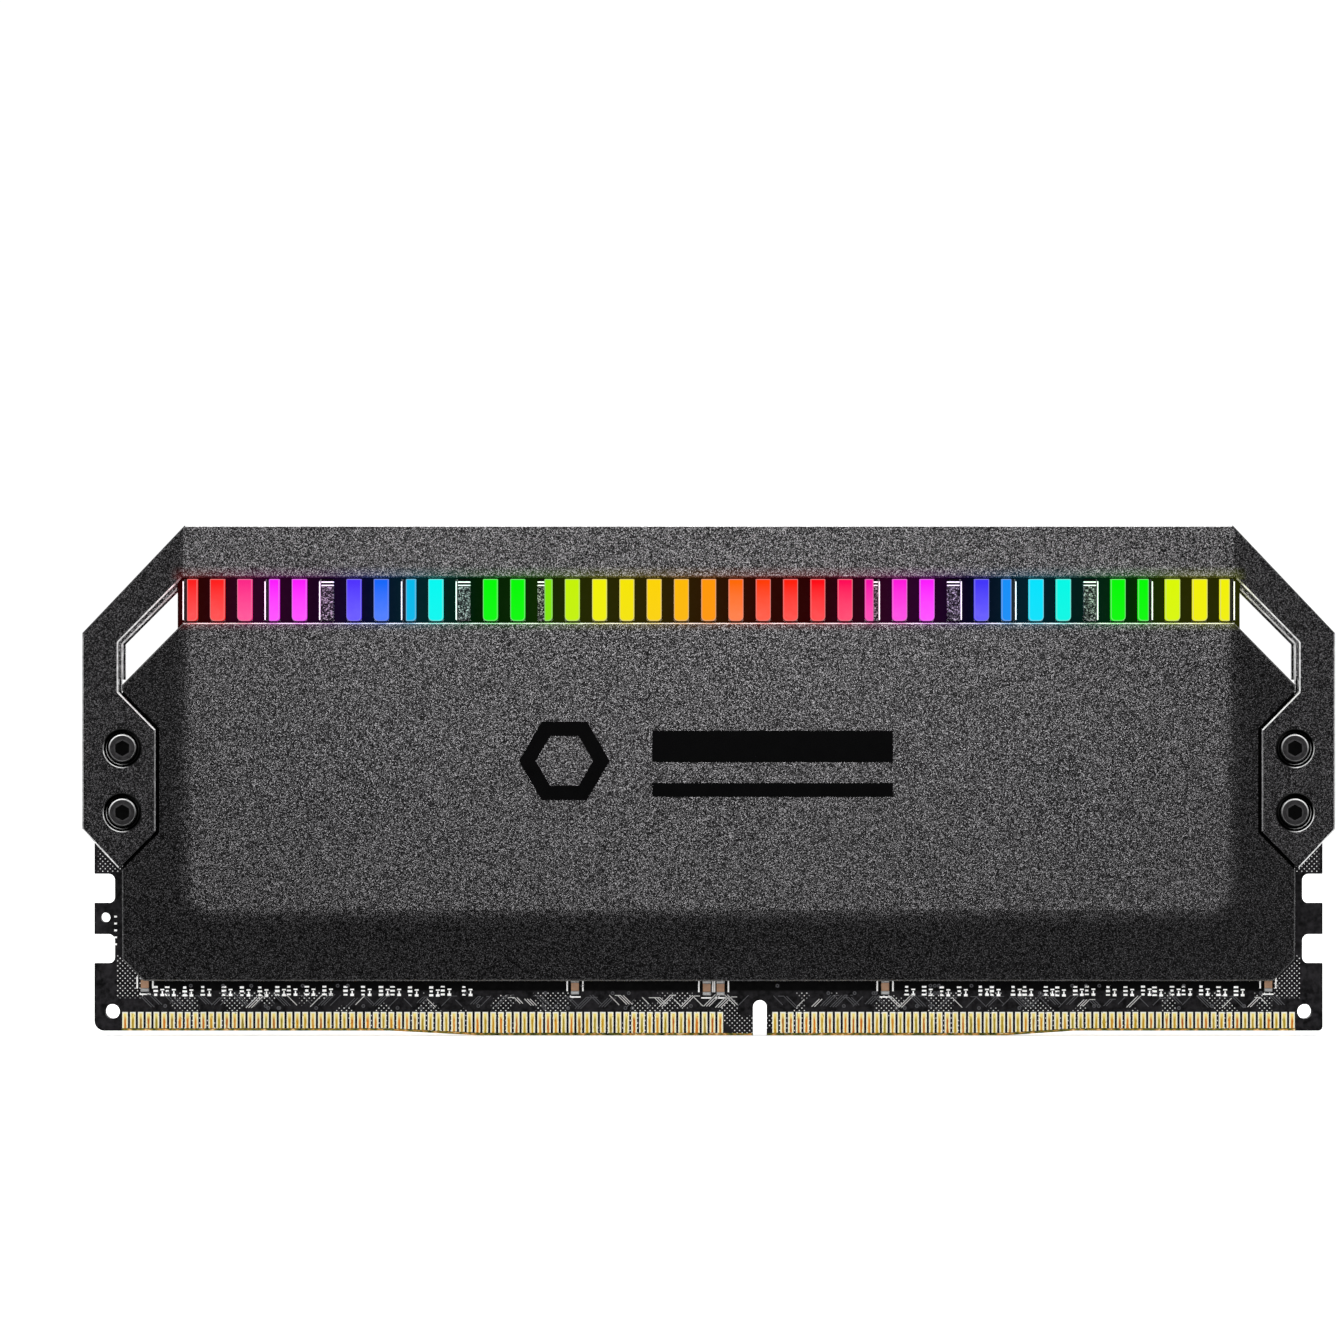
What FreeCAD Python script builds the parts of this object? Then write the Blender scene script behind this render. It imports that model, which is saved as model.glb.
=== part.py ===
import FreeCAD, Part

import math
import os

# Desktop memory module with a two-sided heat spreader, a one-piece top frame and a light strip.
# Millimetres. +X runs along the board, -Y is the front face, +Z points from the contact edge to
# the top frame. The origin is the middle of the contact edge, halfway through the board.
# Every shape in front of the board has a mirrored twin behind it.

# Circuit board: the standard 288-contact module outline, taller than standard at the top
BOARD_LENGTH = 133.35
BOARD_THICKNESS = 1.4
BOARD_SHOULDER_Z = 34.0
BOARD_TOP_Z = 43.6
BOARD_END_RISE = 0.5
BOARD_EDGE_BEVEL = 0.25
BOARD_LEFT_CORNER_RADIUS = 1.1
BOARD_RIGHT_CORNER_RADIUS = 0.5
BOW_LEFT_OUTER_X = -34.6
BOW_LEFT_INNER_X = -24.8
BOW_RIGHT_INNER_X = 32.2
BOW_RIGHT_OUTER_X = 39.8
KEY_X = 5.575
KEY_WIDTH = 1.5
KEY_DEPTH = 3.83
LATCH_NOTCH_DEPTH = 2.25
LATCH_NOTCH_HEIGHT = 3.18
LATCH_NOTCH_RADIUS = 0.7
LATCH_NOTCH_CENTRES_Z = (9.41, 15.95)
TOOLING_HOLE_X = 64.7
TOOLING_HOLE_Z = 2.6
TOOLING_HOLE_DIAMETER = 1.6
LOCATING_HOLE_X = -65.45
LOCATING_HOLE_Z = 12.8
LOCATING_HOLE_DIAMETER = 1.05

# Edge contacts
CONTACT_PITCH = 0.85
CONTACT_WIDTH = 0.6
CONTACT_TOP_Z = 2.55
CONTACT_CLEARANCE = 0.3
CONTACT_PLATING = 0.04
FIRST_CONTACT_X = -63.325
LEFT_CONTACTS = 77
FIRST_RIGHT_CONTACT_X = 7.225
RIGHT_CONTACTS = 67

# Parts soldered to the board
CHIP_WIDTH = 7.5
CHIP_HEIGHT = 11.0
CHIP_THICKNESS = 1.0
CHIP_CENTRE_Z = 19.6
CHIP_FIRST_X = 10.4
CHIP_SPACING = 13.6
CHIPS_PER_SIDE = 4
CHIP_BEVEL = 0.08
SMALL_PART_BEVEL = 0.05
CAPACITOR_WIDTH = 0.9
CAPACITOR_LENGTH = 1.7
CAPACITOR_THICKNESS = 0.5
CHIP_CAPACITOR_LENGTH = 1.6
CHIP_CAPACITOR_WIDTH = 0.8
CHIP_CAPACITOR_THICKNESS = 0.6
CHIP_CAPACITOR_OFFSET_X = 2.2
CHIP_CAPACITOR_OFFSET_Z = 7.4
SPD_CHIP_PLACE = (0.0, 23.0)
SPD_CHIP_SIZE = (2.0, 3.0, 0.75)
LED_CONTROLLER_PLACE = (-20.0, 34.0)
LED_CONTROLLER_SIZE = (4.0, 4.0, 0.85)
LED_DRIVER_PLACE = (20.0, 34.0)
LED_DRIVER_SIZE = (3.0, 3.0, 0.8)
PAD_MARGIN_X = 1.0
PAD_MARGIN_Z = 0.5
EDGE_CAPACITOR_PLACES = ((-61.16, 5.6), (-14.49, 5.3), (-0.2, 5.2), (1.3, 5.2), (19.16, 5.3), (60.72, 5.6))
RESISTOR_ARRAY_LENGTH = 2.0
RESISTOR_ARRAY_WIDTH = 1.0
RESISTOR_ARRAY_THICKNESS = 0.45
RESISTOR_ARRAY_Z = 7.4
RESISTOR_ARRAY_PITCH = 3.4
RESISTOR_ARRAYS_PER_HALF = 15
RESISTOR_ARRAY_FIRST_X = 9.5
LED_LENGTH = 2.0
LED_HEIGHT = 1.3
LED_THICKNESS = 0.6
LED_BEVEL = 0.1
LED_CENTRE_Z = 42.2
LEDS_PER_SIDE = 6
LED_SPACING = 19.0

# Heat spreader: a shallow tray with a raised field and sloping margins
FIELD_Y = 3.8
SPREADER_HALF_WIDTH = 63.5
SPREADER_BOTTOM_Z = 6.0
SPREADER_TOP_Z = 44.75
SPREADER_LOWER_CHAMFER = 2.35
SPREADER_UPPER_CHAMFER = 6.7
FIELD_HALF_WIDTH = 56.8
FIELD_BOTTOM_Z = 12.9
FIELD_CORNER_RADIUS = 3.0
MARGIN_SLOPE_DEG = 9.0
MARGIN_RUN = 16.0
FIELD_EDGE_BLEND = 11.0
TRAY_FLOOR_Y = 2.2
TRAY_RIM_Y = 0.95
TRAY_HALF_WIDTH = 58.2
TRAY_BOTTOM_Z = 9.0
TRAY_CORNER_WALL = 2.0
SKIRT_HALF_WIDTH = 62.2
SKIRT_INNER_Y = 1.45
LIP_INNER_Y = 3.0
LIP_BOTTOM_Z = 43.2
LIP_HALF_WIDTH = 57.65
EAR_OUTER_Y = 1.6
EAR_INSET = 1.3
EAR_BOTTOM_RISE = 0.6
EAR_TOP_DROP = 0.4
EDGE_CHAMFER = 0.15
RIM_LARGEST_RISE = 1.0

# Top frame: a bar over the light strip, slanted shoulders, and forked legs that end in screw tabs
FACE_Y = 4.0
FRAME_TOP_Z = 55.3
FRAME_HALF_WIDTH = 67.85
FRAME_SHOULDER_X = 56.6
FRAME_SHOULDER_Z = 43.65
FRAME_UNDERSIDE_Z = 49.65
FRAME_LEG_WIDTH = 3.95
OPENING_CORNER_RUN = 7.0
OPENING_CORNER_RADIUS = 0.4
FRAME_NECK_TOP_Z = 37.3
FRAME_NECK_BOTTOM_Z = 33.2
TAB_INNER_X = 59.8
TAB_OUTER_BOTTOM_Z = 22.4
TAB_TIP_X = 63.85
TAB_TIP_Z = 18.2
FRAME_SLOPE_DEG = 9.0
FORK_TOP_Z = 37.5
TAB_POCKET_GAP = 0.4
STEP_REACH = 0.45
STEP_HALF_WIDTH = 2.2
STEP_BOTTOM_Z = 38.6
STEP_END_X = 57.6
CHANNEL_HALF_WIDTH = 1.2
CHANNEL_DEPTH = 0.9
CHANNEL_END_X = 54.8
CHANNEL_OPEN_SIDE = 3.0
GUIDE_GROOVE_HALF_WIDTH = 2.95
GUIDE_GROOVE_TOP_Z = 50.6
GUIDE_GROOVE_END_GAP = 0.05

# Light strip: one clear guide with teeth, and an opaque comb on each side
WINDOW_COUNT = 39
WINDOW_PITCH = 2.95
TOOTH_WIDTH = 1.6
TOOTH_BOTTOM_Z = 44.97
TOOTH_TOP_Z = 49.5
TOOTH_FRONT_Y = 3.85
TOOTH_LOWER_RADIUS = 0.25
TOOTH_UPPER_RADIUS = 0.12
GUIDE_HALF_LENGTH = 57.0
GUIDE_CORE_Y = 1.95
GUIDE_BOTTOM_Z = 43.9
GUIDE_TOP_Z = 50.5
COMB_HALF_LENGTH = 57.45
COMB_INNER_Y = 2.0
COMB_OUTER_Y = 2.9
COMB_BOTTOM_Z = 43.5
COMB_SLOT_GAP = 0.02

# Screws and spacers
SCREW_X = 63.45
SCREW_HEIGHTS = (24.25, 31.2)
SCREW_HEAD_DIAMETER = 3.0
SCREW_HEAD_HEIGHT = 0.7
SCREW_HEAD_BEVEL = 0.12
SCREW_SHANK_DIAMETER = 1.98
SCREW_SHANK_END_Y = 0.15
HEX_SOCKET_FLATS = 1.5
HEX_SOCKET_DEPTH = 0.45
COUNTERBORE_DIAMETER = 3.5
COUNTERBORE_FLOOR_Y = 2.2
COUNTERBORE_CHAMFER = 0.4
SCREW_CLEARANCE_DIAMETER = 2.2
SPACER_DIAMETER = 3.0
SPACER_BORE_DIAMETER = 2.0
SPACER_BOARD_HOLE_DIAMETER = 3.3

BOARD_HALF = BOARD_THICKNESS / 2
BOARD_HALF_LENGTH = BOARD_LENGTH / 2
LEG_INNER_X = FRAME_HALF_WIDTH - FRAME_LEG_WIDTH
BEYOND = 80.0
OVERCUT = 1.0
HALF_CORNER = math.tan(math.radians(22.5))


# ---------- geometry helpers ----------

def box(x0, x1, y0, y1, z0, z1):
    """Box between two corners."""
    return Part.makeBox(x1 - x0, y1 - y0, z1 - z0, FreeCAD.Vector(x0, y0, z0))


def rod(x, z, diameter, y0, y1):
    """Cylinder along Y."""
    return Part.makeCylinder(diameter / 2, y1 - y0, FreeCAD.Vector(x, y0, z), FreeCAD.Vector(0, 1, 0))


def outline(corners, place):
    """Closed wire through corners (a, b, radius); place turns (a, b) into a point in space."""
    count = len(corners)
    joints = []
    for index, (a, b, radius) in enumerate(corners):
        here = FreeCAD.Vector(a, b, 0)
        if radius == 0:
            joints.append((here, None, here))
            continue
        back = FreeCAD.Vector(*corners[index - 1][:2], 0) - here
        ahead = FreeCAD.Vector(*corners[(index + 1) % count][:2], 0) - here
        half_angle = back.getAngle(ahead) / 2
        back.normalize()
        ahead.normalize()
        reach = radius / math.tan(half_angle)
        middle = back + ahead
        middle.normalize()
        centre_distance = radius / math.sin(half_angle)
        joints.append((here + back * reach, here + middle * (centre_distance - radius), here + ahead * reach))
    edges = []
    for index, (start, middle, end) in enumerate(joints):
        if middle is not None:
            edges.append(Part.Arc(place(start), place(middle), place(end)).toShape())
        following = joints[(index + 1) % count][0]
        if (following - end).Length > 1e-7:
            edges.append(Part.LineSegment(place(end), place(following)).toShape())
    return Part.Wire(edges)


def plate(corners, y0, y1):
    """Solid from an X-Z outline, between two Y planes."""
    wire = outline(corners, lambda p: FreeCAD.Vector(p.x, y0, p.y))
    return Part.Face(wire).extrude(FreeCAD.Vector(0, y1 - y0, 0))


def mirror_x(shape):
    """The same shape on the other end of the module."""
    return shape.mirror(FreeCAD.Vector(0, 0, 0), FreeCAD.Vector(1, 0, 0))


def screw_places():
    """Centre (x, z) of each of the four screws on one face."""
    return [(side * SCREW_X, height) for side in (-1, 1) for height in SCREW_HEIGHTS]


def mirror_y(shape):
    """The same shape on the back of the module."""
    return shape.mirror(FreeCAD.Vector(0, 0, 0), FreeCAD.Vector(0, 1, 0))


def with_left_twin(corners):
    """Outline of the right half, bottom to top, closed with its mirror image on the left."""
    return corners + [(-x, z, radius) for x, z, radius in reversed(corners)]


def front_rim(shape, surface_y):
    """Edges whose whole length lies on the front surface, where y equals surface_y(x, z)."""
    found = []
    for edge in shape.Edges:
        steps = edge.discretize(5)
        if all(abs(point.y - surface_y(point.x, point.z)) < 0.02 for point in steps):
            found.append(edge)
    return found


# ---------- circuit board ----------

def board_edge_z(x):
    """Height of the bowed contact edge at x."""
    if x <= BOW_LEFT_OUTER_X or x >= BOW_RIGHT_OUTER_X:
        return BOARD_END_RISE
    if x < BOW_LEFT_INNER_X:
        return BOARD_END_RISE * (BOW_LEFT_INNER_X - x) / (BOW_LEFT_INNER_X - BOW_LEFT_OUTER_X)
    if x > BOW_RIGHT_INNER_X:
        return BOARD_END_RISE * (x - BOW_RIGHT_INNER_X) / (BOW_RIGHT_OUTER_X - BOW_RIGHT_INNER_X)
    return 0.0


def board_blank():
    top_half_length = BOARD_HALF_LENGTH - (BOARD_TOP_Z - BOARD_SHOULDER_Z)
    corners = [
        (-BOARD_HALF_LENGTH, BOARD_END_RISE, BOARD_LEFT_CORNER_RADIUS),
        (BOW_LEFT_OUTER_X, BOARD_END_RISE, 0),
        (BOW_LEFT_INNER_X, 0, 0),
        (BOW_RIGHT_INNER_X, 0, 0),
        (BOW_RIGHT_OUTER_X, BOARD_END_RISE, 0),
        (BOARD_HALF_LENGTH, BOARD_END_RISE, BOARD_RIGHT_CORNER_RADIUS),
        (BOARD_HALF_LENGTH, BOARD_SHOULDER_Z, 0),
        (top_half_length, BOARD_TOP_Z, 0),
        (-top_half_length, BOARD_TOP_Z, 0),
        (-BOARD_HALF_LENGTH, BOARD_SHOULDER_Z, 0),
    ]
    blank = plate(corners, -BOARD_HALF, BOARD_HALF)
    insertion_edges = []
    for edge in blank.Edges:
        centre = edge.CenterOfMass
        along_x = abs(edge.Vertexes[0].X - edge.Vertexes[-1].X) > 5
        if along_x and centre.z < BOARD_END_RISE + 0.01:
            insertion_edges.append(edge)
    return blank.makeChamfer(BOARD_EDGE_BEVEL, insertion_edges)


def latch_notch(centre_z):
    inner_x = BOARD_HALF_LENGTH - LATCH_NOTCH_DEPTH
    low = centre_z - LATCH_NOTCH_HEIGHT / 2
    high = centre_z + LATCH_NOTCH_HEIGHT / 2
    radius = LATCH_NOTCH_RADIUS
    corners = [(inner_x, low, radius), (BEYOND, low, 0), (BEYOND, high, 0), (inner_x, high, radius)]
    return plate(corners, -BOARD_HALF - OVERCUT, BOARD_HALF + OVERCUT)


def key_notch():
    half = KEY_WIDTH / 2
    top_radius = half - 0.001
    corners = [(KEY_X - half, -OVERCUT, 0), (KEY_X + half, -OVERCUT, 0)]
    corners += [(KEY_X + half, KEY_DEPTH, top_radius), (KEY_X - half, KEY_DEPTH, top_radius)]
    return plate(corners, -BOARD_HALF - OVERCUT, BOARD_HALF + OVERCUT)


def circuit_board():
    cutters = [key_notch()]
    for centre_z in LATCH_NOTCH_CENTRES_Z:
        notch = latch_notch(centre_z)
        cutters += [notch, mirror_x(notch)]
    near = -BOARD_HALF - OVERCUT
    far = BOARD_HALF + OVERCUT
    for side in (-1, 1):
        cutters.append(rod(side * TOOLING_HOLE_X, TOOLING_HOLE_Z, TOOLING_HOLE_DIAMETER, near, far))
    for x, height in screw_places():
        cutters.append(rod(x, height, SPACER_BOARD_HOLE_DIAMETER, near, far))
    cutters.append(rod(LOCATING_HOLE_X, LOCATING_HOLE_Z, LOCATING_HOLE_DIAMETER, near, far))
    return board_blank().cut(cutters)


def front_contacts():
    places = [FIRST_CONTACT_X + i * CONTACT_PITCH for i in range(LEFT_CONTACTS)]
    places += [FIRST_RIGHT_CONTACT_X + i * CONTACT_PITCH for i in range(RIGHT_CONTACTS)]
    fingers = []
    for x in places:
        foot = board_edge_z(x) + CONTACT_CLEARANCE
        left = x - CONTACT_WIDTH / 2
        right = x + CONTACT_WIDTH / 2
        fingers.append(box(left, right, -BOARD_HALF - CONTACT_PLATING, -BOARD_HALF, foot, CONTACT_TOP_Z))
    return Part.Compound(fingers)


# ---------- parts soldered to the board ----------

def surface_part(x, z, width, height, thickness, corner=0.0):
    """A flat package on the board's front face, with its front edges bevelled by corner."""
    front = -BOARD_HALF - thickness
    body = box(x - width / 2, x + width / 2, front, -BOARD_HALF, z - height / 2, z + height / 2)
    if corner == 0:
        return body
    rim = front_rim(body, lambda px, pz: front)
    return body.makeChamfer(corner, rim)


def front_memory_chips():
    chips = []
    for side in (-1, 1):
        for i in range(CHIPS_PER_SIDE):
            x = side * (CHIP_FIRST_X + i * CHIP_SPACING)
            size = (CHIP_WIDTH, CHIP_HEIGHT, CHIP_THICKNESS)
            chips.append(surface_part(x, CHIP_CENTRE_Z, *size, CHIP_BEVEL))
    return Part.Compound(chips)


def edge_capacitors(mirrored):
    """Upright capacitors beside the contacts; the back has the same places, mirrored in X."""
    turn = -1 if mirrored else 1
    parts = []
    size = (CAPACITOR_WIDTH, CAPACITOR_LENGTH, CAPACITOR_THICKNESS)
    for x, z in EDGE_CAPACITOR_PLACES:
        parts.append(surface_part(turn * x, z, *size, SMALL_PART_BEVEL))
    return parts


def chip_capacitors():
    """Decoupling capacitors, two above and two below each memory chip."""
    parts = []
    size = (CHIP_CAPACITOR_LENGTH, CHIP_CAPACITOR_WIDTH, CHIP_CAPACITOR_THICKNESS)
    for side in (-1, 1):
        for i in range(CHIPS_PER_SIDE):
            x = side * (CHIP_FIRST_X + i * CHIP_SPACING)
            for across in (-CHIP_CAPACITOR_OFFSET_X, CHIP_CAPACITOR_OFFSET_X):
                for along in (-CHIP_CAPACITOR_OFFSET_Z, CHIP_CAPACITOR_OFFSET_Z):
                    parts.append(surface_part(x + across, CHIP_CENTRE_Z + along, *size))
    return parts


def front_capacitors():
    return Part.Compound(edge_capacitors(False) + chip_capacitors())


def rear_capacitors():
    return mirror_y(Part.Compound(edge_capacitors(True) + chip_capacitors()))


def front_resistor_arrays():
    parts = []
    size = (RESISTOR_ARRAY_LENGTH, RESISTOR_ARRAY_WIDTH, RESISTOR_ARRAY_THICKNESS)
    for side in (-1, 1):
        for i in range(RESISTOR_ARRAYS_PER_HALF):
            x = side * (RESISTOR_ARRAY_FIRST_X + i * RESISTOR_ARRAY_PITCH)
            parts.append(surface_part(x, RESISTOR_ARRAY_Z, *size))
    return Part.Compound(parts)


def front_leds():
    lights = []
    for i in range(LEDS_PER_SIDE):
        x = (i - (LEDS_PER_SIDE - 1) / 2) * LED_SPACING
        lights.append(surface_part(x, LED_CENTRE_Z, LED_LENGTH, LED_HEIGHT, LED_THICKNESS, LED_BEVEL))
    return Part.Compound(lights)


# ---------- heat spreaders ----------

def field_slope():
    """Blank for the raised field and the margins that slope back from it, with a soft crease."""
    run = MARGIN_RUN
    drop = run * math.tan(math.radians(MARGIN_SLOPE_DEG))
    wires = []
    for grow, y in ((0.0, -FIELD_Y), (run, -FIELD_Y + drop)):
        half = FIELD_HALF_WIDTH + grow
        low = FIELD_BOTTOM_Z - grow
        radius = FIELD_CORNER_RADIUS + grow
        corners = [(-half, low, radius), (half, low, radius), (half, BEYOND, 0), (-half, BEYOND, 0)]
        wires.append(outline(corners, lambda p, y=y: FreeCAD.Vector(p.x, y, p.y)))
    blank = Part.makeLoft(wires, True, True)
    crease = []
    for edge in front_rim(blank, lambda x, z: -FIELD_Y):
        if edge.CenterOfMass.z < BEYOND - OVERCUT:
            crease.append(edge)
    blank = blank.makeFillet(FIELD_EDGE_BLEND, crease)
    backing = box(-FIELD_HALF_WIDTH - run, FIELD_HALF_WIDTH + run, -FIELD_Y + drop, 0,
                  FIELD_BOTTOM_Z - run, BEYOND)
    return blank.fuse(backing)


def spreader_outline():
    half = SPREADER_HALF_WIDTH
    ear = FRAME_HALF_WIDTH - EAR_INSET
    ear_low = TAB_OUTER_BOTTOM_Z + EAR_BOTTOM_RISE
    ear_high = BOARD_SHOULDER_Z - EAR_TOP_DROP
    right = [
        (half - SPREADER_LOWER_CHAMFER, SPREADER_BOTTOM_Z, 0),
        (half, SPREADER_BOTTOM_Z + SPREADER_LOWER_CHAMFER, 0),
        (half, ear_low - (ear - half), 0),
        (ear, ear_low, 0),
        (ear, ear_high, 0),
        (half, ear_high + (ear - half), 0),
        (half, SPREADER_TOP_Z - SPREADER_UPPER_CHAMFER, 0),
        (half - SPREADER_UPPER_CHAMFER, SPREADER_TOP_Z, 0),
    ]
    return with_left_twin(right)


def frame_edge(gap):
    """Right-hand outline of the tab's inboard side, grown outwards by gap, tip first."""
    slant = gap * HALF_CORNER
    return [
        (TAB_TIP_X, TAB_TIP_Z - gap * math.sqrt(2), 0),
        (TAB_INNER_X - gap, TAB_TIP_Z + TAB_TIP_X - TAB_INNER_X - slant, 0),
        (TAB_INNER_X - gap, FRAME_NECK_BOTTOM_Z + slant, 0),
        (LEG_INNER_X - gap, FRAME_NECK_TOP_Z + slant, 0),
    ]


def tab_pocket():
    """Space in front of the right-hand ear that the frame's tab fills."""
    edge = frame_edge(TAB_POCKET_GAP)
    corners = [(BEYOND, edge[0][1], 0)] + edge
    corners += [(edge[-1][0], SPREADER_TOP_Z, 0), (BEYOND, SPREADER_TOP_Z, 0)]
    return plate(corners, -FACE_Y - OVERCUT, -EAR_OUTER_Y)


def tray_corner_wall():
    """Metal left standing inside the right-hand slanted corner of the spreader."""
    start = SPREADER_TOP_Z - SPREADER_UPPER_CHAMFER + TRAY_CORNER_WALL
    rise = BEYOND - start
    corners = [(TRAY_HALF_WIDTH, start, 0), (TRAY_HALF_WIDTH, BEYOND, 0), (TRAY_HALF_WIDTH - rise, BEYOND, 0)]
    return plate(corners, -FACE_Y, 0)


def front_heat_spreader():
    body = plate(spreader_outline(), -FACE_Y - OVERCUT, -TRAY_RIM_Y).common(field_slope())
    body = body.makeChamfer(EDGE_CHAMFER, spreader_rim(body))
    half = TRAY_HALF_WIDTH
    lip = LIP_HALF_WIDTH
    skirt_half = SKIRT_HALF_WIDTH
    tray = box(-half, half, -TRAY_FLOOR_Y, 0, TRAY_BOTTOM_Z, BEYOND)
    corner_wall = tray_corner_wall()
    tray = tray.cut([corner_wall, mirror_x(corner_wall)])
    skirt = box(-skirt_half, skirt_half, -SKIRT_INNER_Y, 0, 0, TRAY_BOTTOM_Z)
    lip_relief = box(-lip, lip, -LIP_INNER_Y, 0, LIP_BOTTOM_Z, BEYOND)
    pocket = tab_pocket()
    cutters = [tray, skirt, lip_relief, pocket, mirror_x(pocket)]
    for x, height in screw_places():
        cutters.append(rod(x, height, SCREW_CLEARANCE_DIAMETER, -FACE_Y, 0))
    return body.cut(cutters)


def spreader_rim(body):
    """Outer front edges of the spreader: top, slanted corners, sides and bottom."""
    rim = []
    for edge in body.Edges:
        ends = edge.Vertexes
        on_front = all(end.Y < -SKIRT_INNER_Y - EDGE_CHAMFER for end in ends)
        crosses = abs(ends[0].Y - ends[-1].Y) > RIM_LARGEST_RISE
        if not on_front or crosses:
            continue
        middle = edge.valueAt((edge.FirstParameter + edge.LastParameter) / 2)
        outside = not body.isInside(middle + FreeCAD.Vector(0, -0.05, 0), 1e-6, True)
        if outside and on_outline(middle):
            rim.append(edge)
    return rim


def on_outline(point):
    """True where a point lies on the spreader's side wall."""
    half = SPREADER_HALF_WIDTH
    x = abs(point.x)
    upper = half + SPREADER_TOP_Z - SPREADER_UPPER_CHAMFER
    lower = half - SPREADER_LOWER_CHAMFER - SPREADER_BOTTOM_Z
    tests = (
        abs(point.z - SPREADER_BOTTOM_Z),
        abs(point.z - SPREADER_TOP_Z),
        abs(x - half),
        abs(x + point.z - upper),
        abs(x - point.z - lower),
    )
    return min(tests) < 0.001


# ---------- top frame ----------

def frame_outline():
    corner_z = FRAME_UNDERSIDE_Z - OPENING_CORNER_RUN
    return [
        (FRAME_SHOULDER_X, FRAME_TOP_Z, 0),
        (FRAME_HALF_WIDTH, FRAME_SHOULDER_Z, 0),
        (FRAME_HALF_WIDTH, TAB_OUTER_BOTTOM_Z, 0),
        (TAB_TIP_X, TAB_TIP_Z, 0),
        (TAB_INNER_X, TAB_TIP_Z + TAB_TIP_X - TAB_INNER_X, 0),
        (TAB_INNER_X, FRAME_NECK_BOTTOM_Z, 0),
        (LEG_INNER_X, FRAME_NECK_TOP_Z, 0),
        (LEG_INNER_X, corner_z, OPENING_CORNER_RADIUS),
        (LEG_INNER_X - OPENING_CORNER_RUN, FRAME_UNDERSIDE_Z, 0),
    ]


def frame_front_y(x):
    """Depth of the frame's front surface at x."""
    beyond_fold = max(0.0, abs(x) - FIELD_HALF_WIDTH)
    return -FACE_Y + beyond_fold * math.tan(math.radians(FRAME_SLOPE_DEG))


def frame_section():
    """Frame seen from above: flat in the middle, tapering beyond both folds."""
    tip = -frame_front_y(BEYOND)
    corners = [(BEYOND, -tip, 0), (BEYOND, tip, 0), (FIELD_HALF_WIDTH, FACE_Y, 0)]
    corners += [(-FIELD_HALF_WIDTH, FACE_Y, 0), (-BEYOND, tip, 0), (-BEYOND, -tip, 0)]
    corners += [(-FIELD_HALF_WIDTH, -FACE_Y, 0), (FIELD_HALF_WIDTH, -FACE_Y, 0)]
    wire = outline(corners, lambda p: FreeCAD.Vector(p.x, p.y, 0))
    return Part.Face(wire).extrude(FreeCAD.Vector(0, 0, BEYOND))


def opening_wall(depth, end_x):
    """Inner wall of the right-hand leg and shoulder up to end_x, shifted by depth into the metal."""
    corner_z = FRAME_UNDERSIDE_Z - OPENING_CORNER_RUN
    diagonal = LEG_INNER_X + corner_z + depth * math.sqrt(2)
    return (LEG_INNER_X + depth, corner_z + depth * HALF_CORNER, 0), (end_x, diagonal - end_x, 0)


def opening_step():
    """Ledge along the inner wall of the right-hand leg and shoulder, set back from both faces."""
    corner, end = opening_wall(-STEP_REACH, STEP_END_X)
    buried_corner, buried_end = opening_wall(STEP_REACH, STEP_END_X)
    feet = [(corner[0], STEP_BOTTOM_Z, 0), (buried_corner[0], STEP_BOTTOM_Z, 0)]
    ledge = plate(feet + [buried_corner, buried_end, end, corner], -STEP_HALF_WIDTH, STEP_HALF_WIDTH)
    lips = []
    for edge in ledge.Edges:
        middle = edge.CenterOfMass
        on_leg = abs(middle.x - corner[0]) < 0.01
        on_shoulder = abs(middle.x + middle.z - end[0] - end[1]) < 0.01
        if (on_leg or on_shoulder) and abs(abs(middle.y) - STEP_HALF_WIDTH) < 0.01:
            lips.append(edge)
    return ledge.makeChamfer(EDGE_CHAMFER, lips)


def leg_channel():
    """Groove along the inner wall of the right-hand leg and shoulder."""
    low = FORK_TOP_Z - OVERCUT
    shoulder_x = LEG_INNER_X - OPENING_CORNER_RUN + CHANNEL_DEPTH * HALF_CORNER
    corner, shoulder = opening_wall(CHANNEL_DEPTH, shoulder_x)
    corners = [
        (LEG_INNER_X - CHANNEL_OPEN_SIDE, low, 0),
        (corner[0], low, 0),
        corner,
        shoulder,
        (CHANNEL_END_X, shoulder[1], 0),
        (CHANNEL_END_X, FRAME_UNDERSIDE_Z - OVERCUT, 0),
    ]
    return plate(corners, -CHANNEL_HALF_WIDTH, CHANNEL_HALF_WIDTH)


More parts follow.
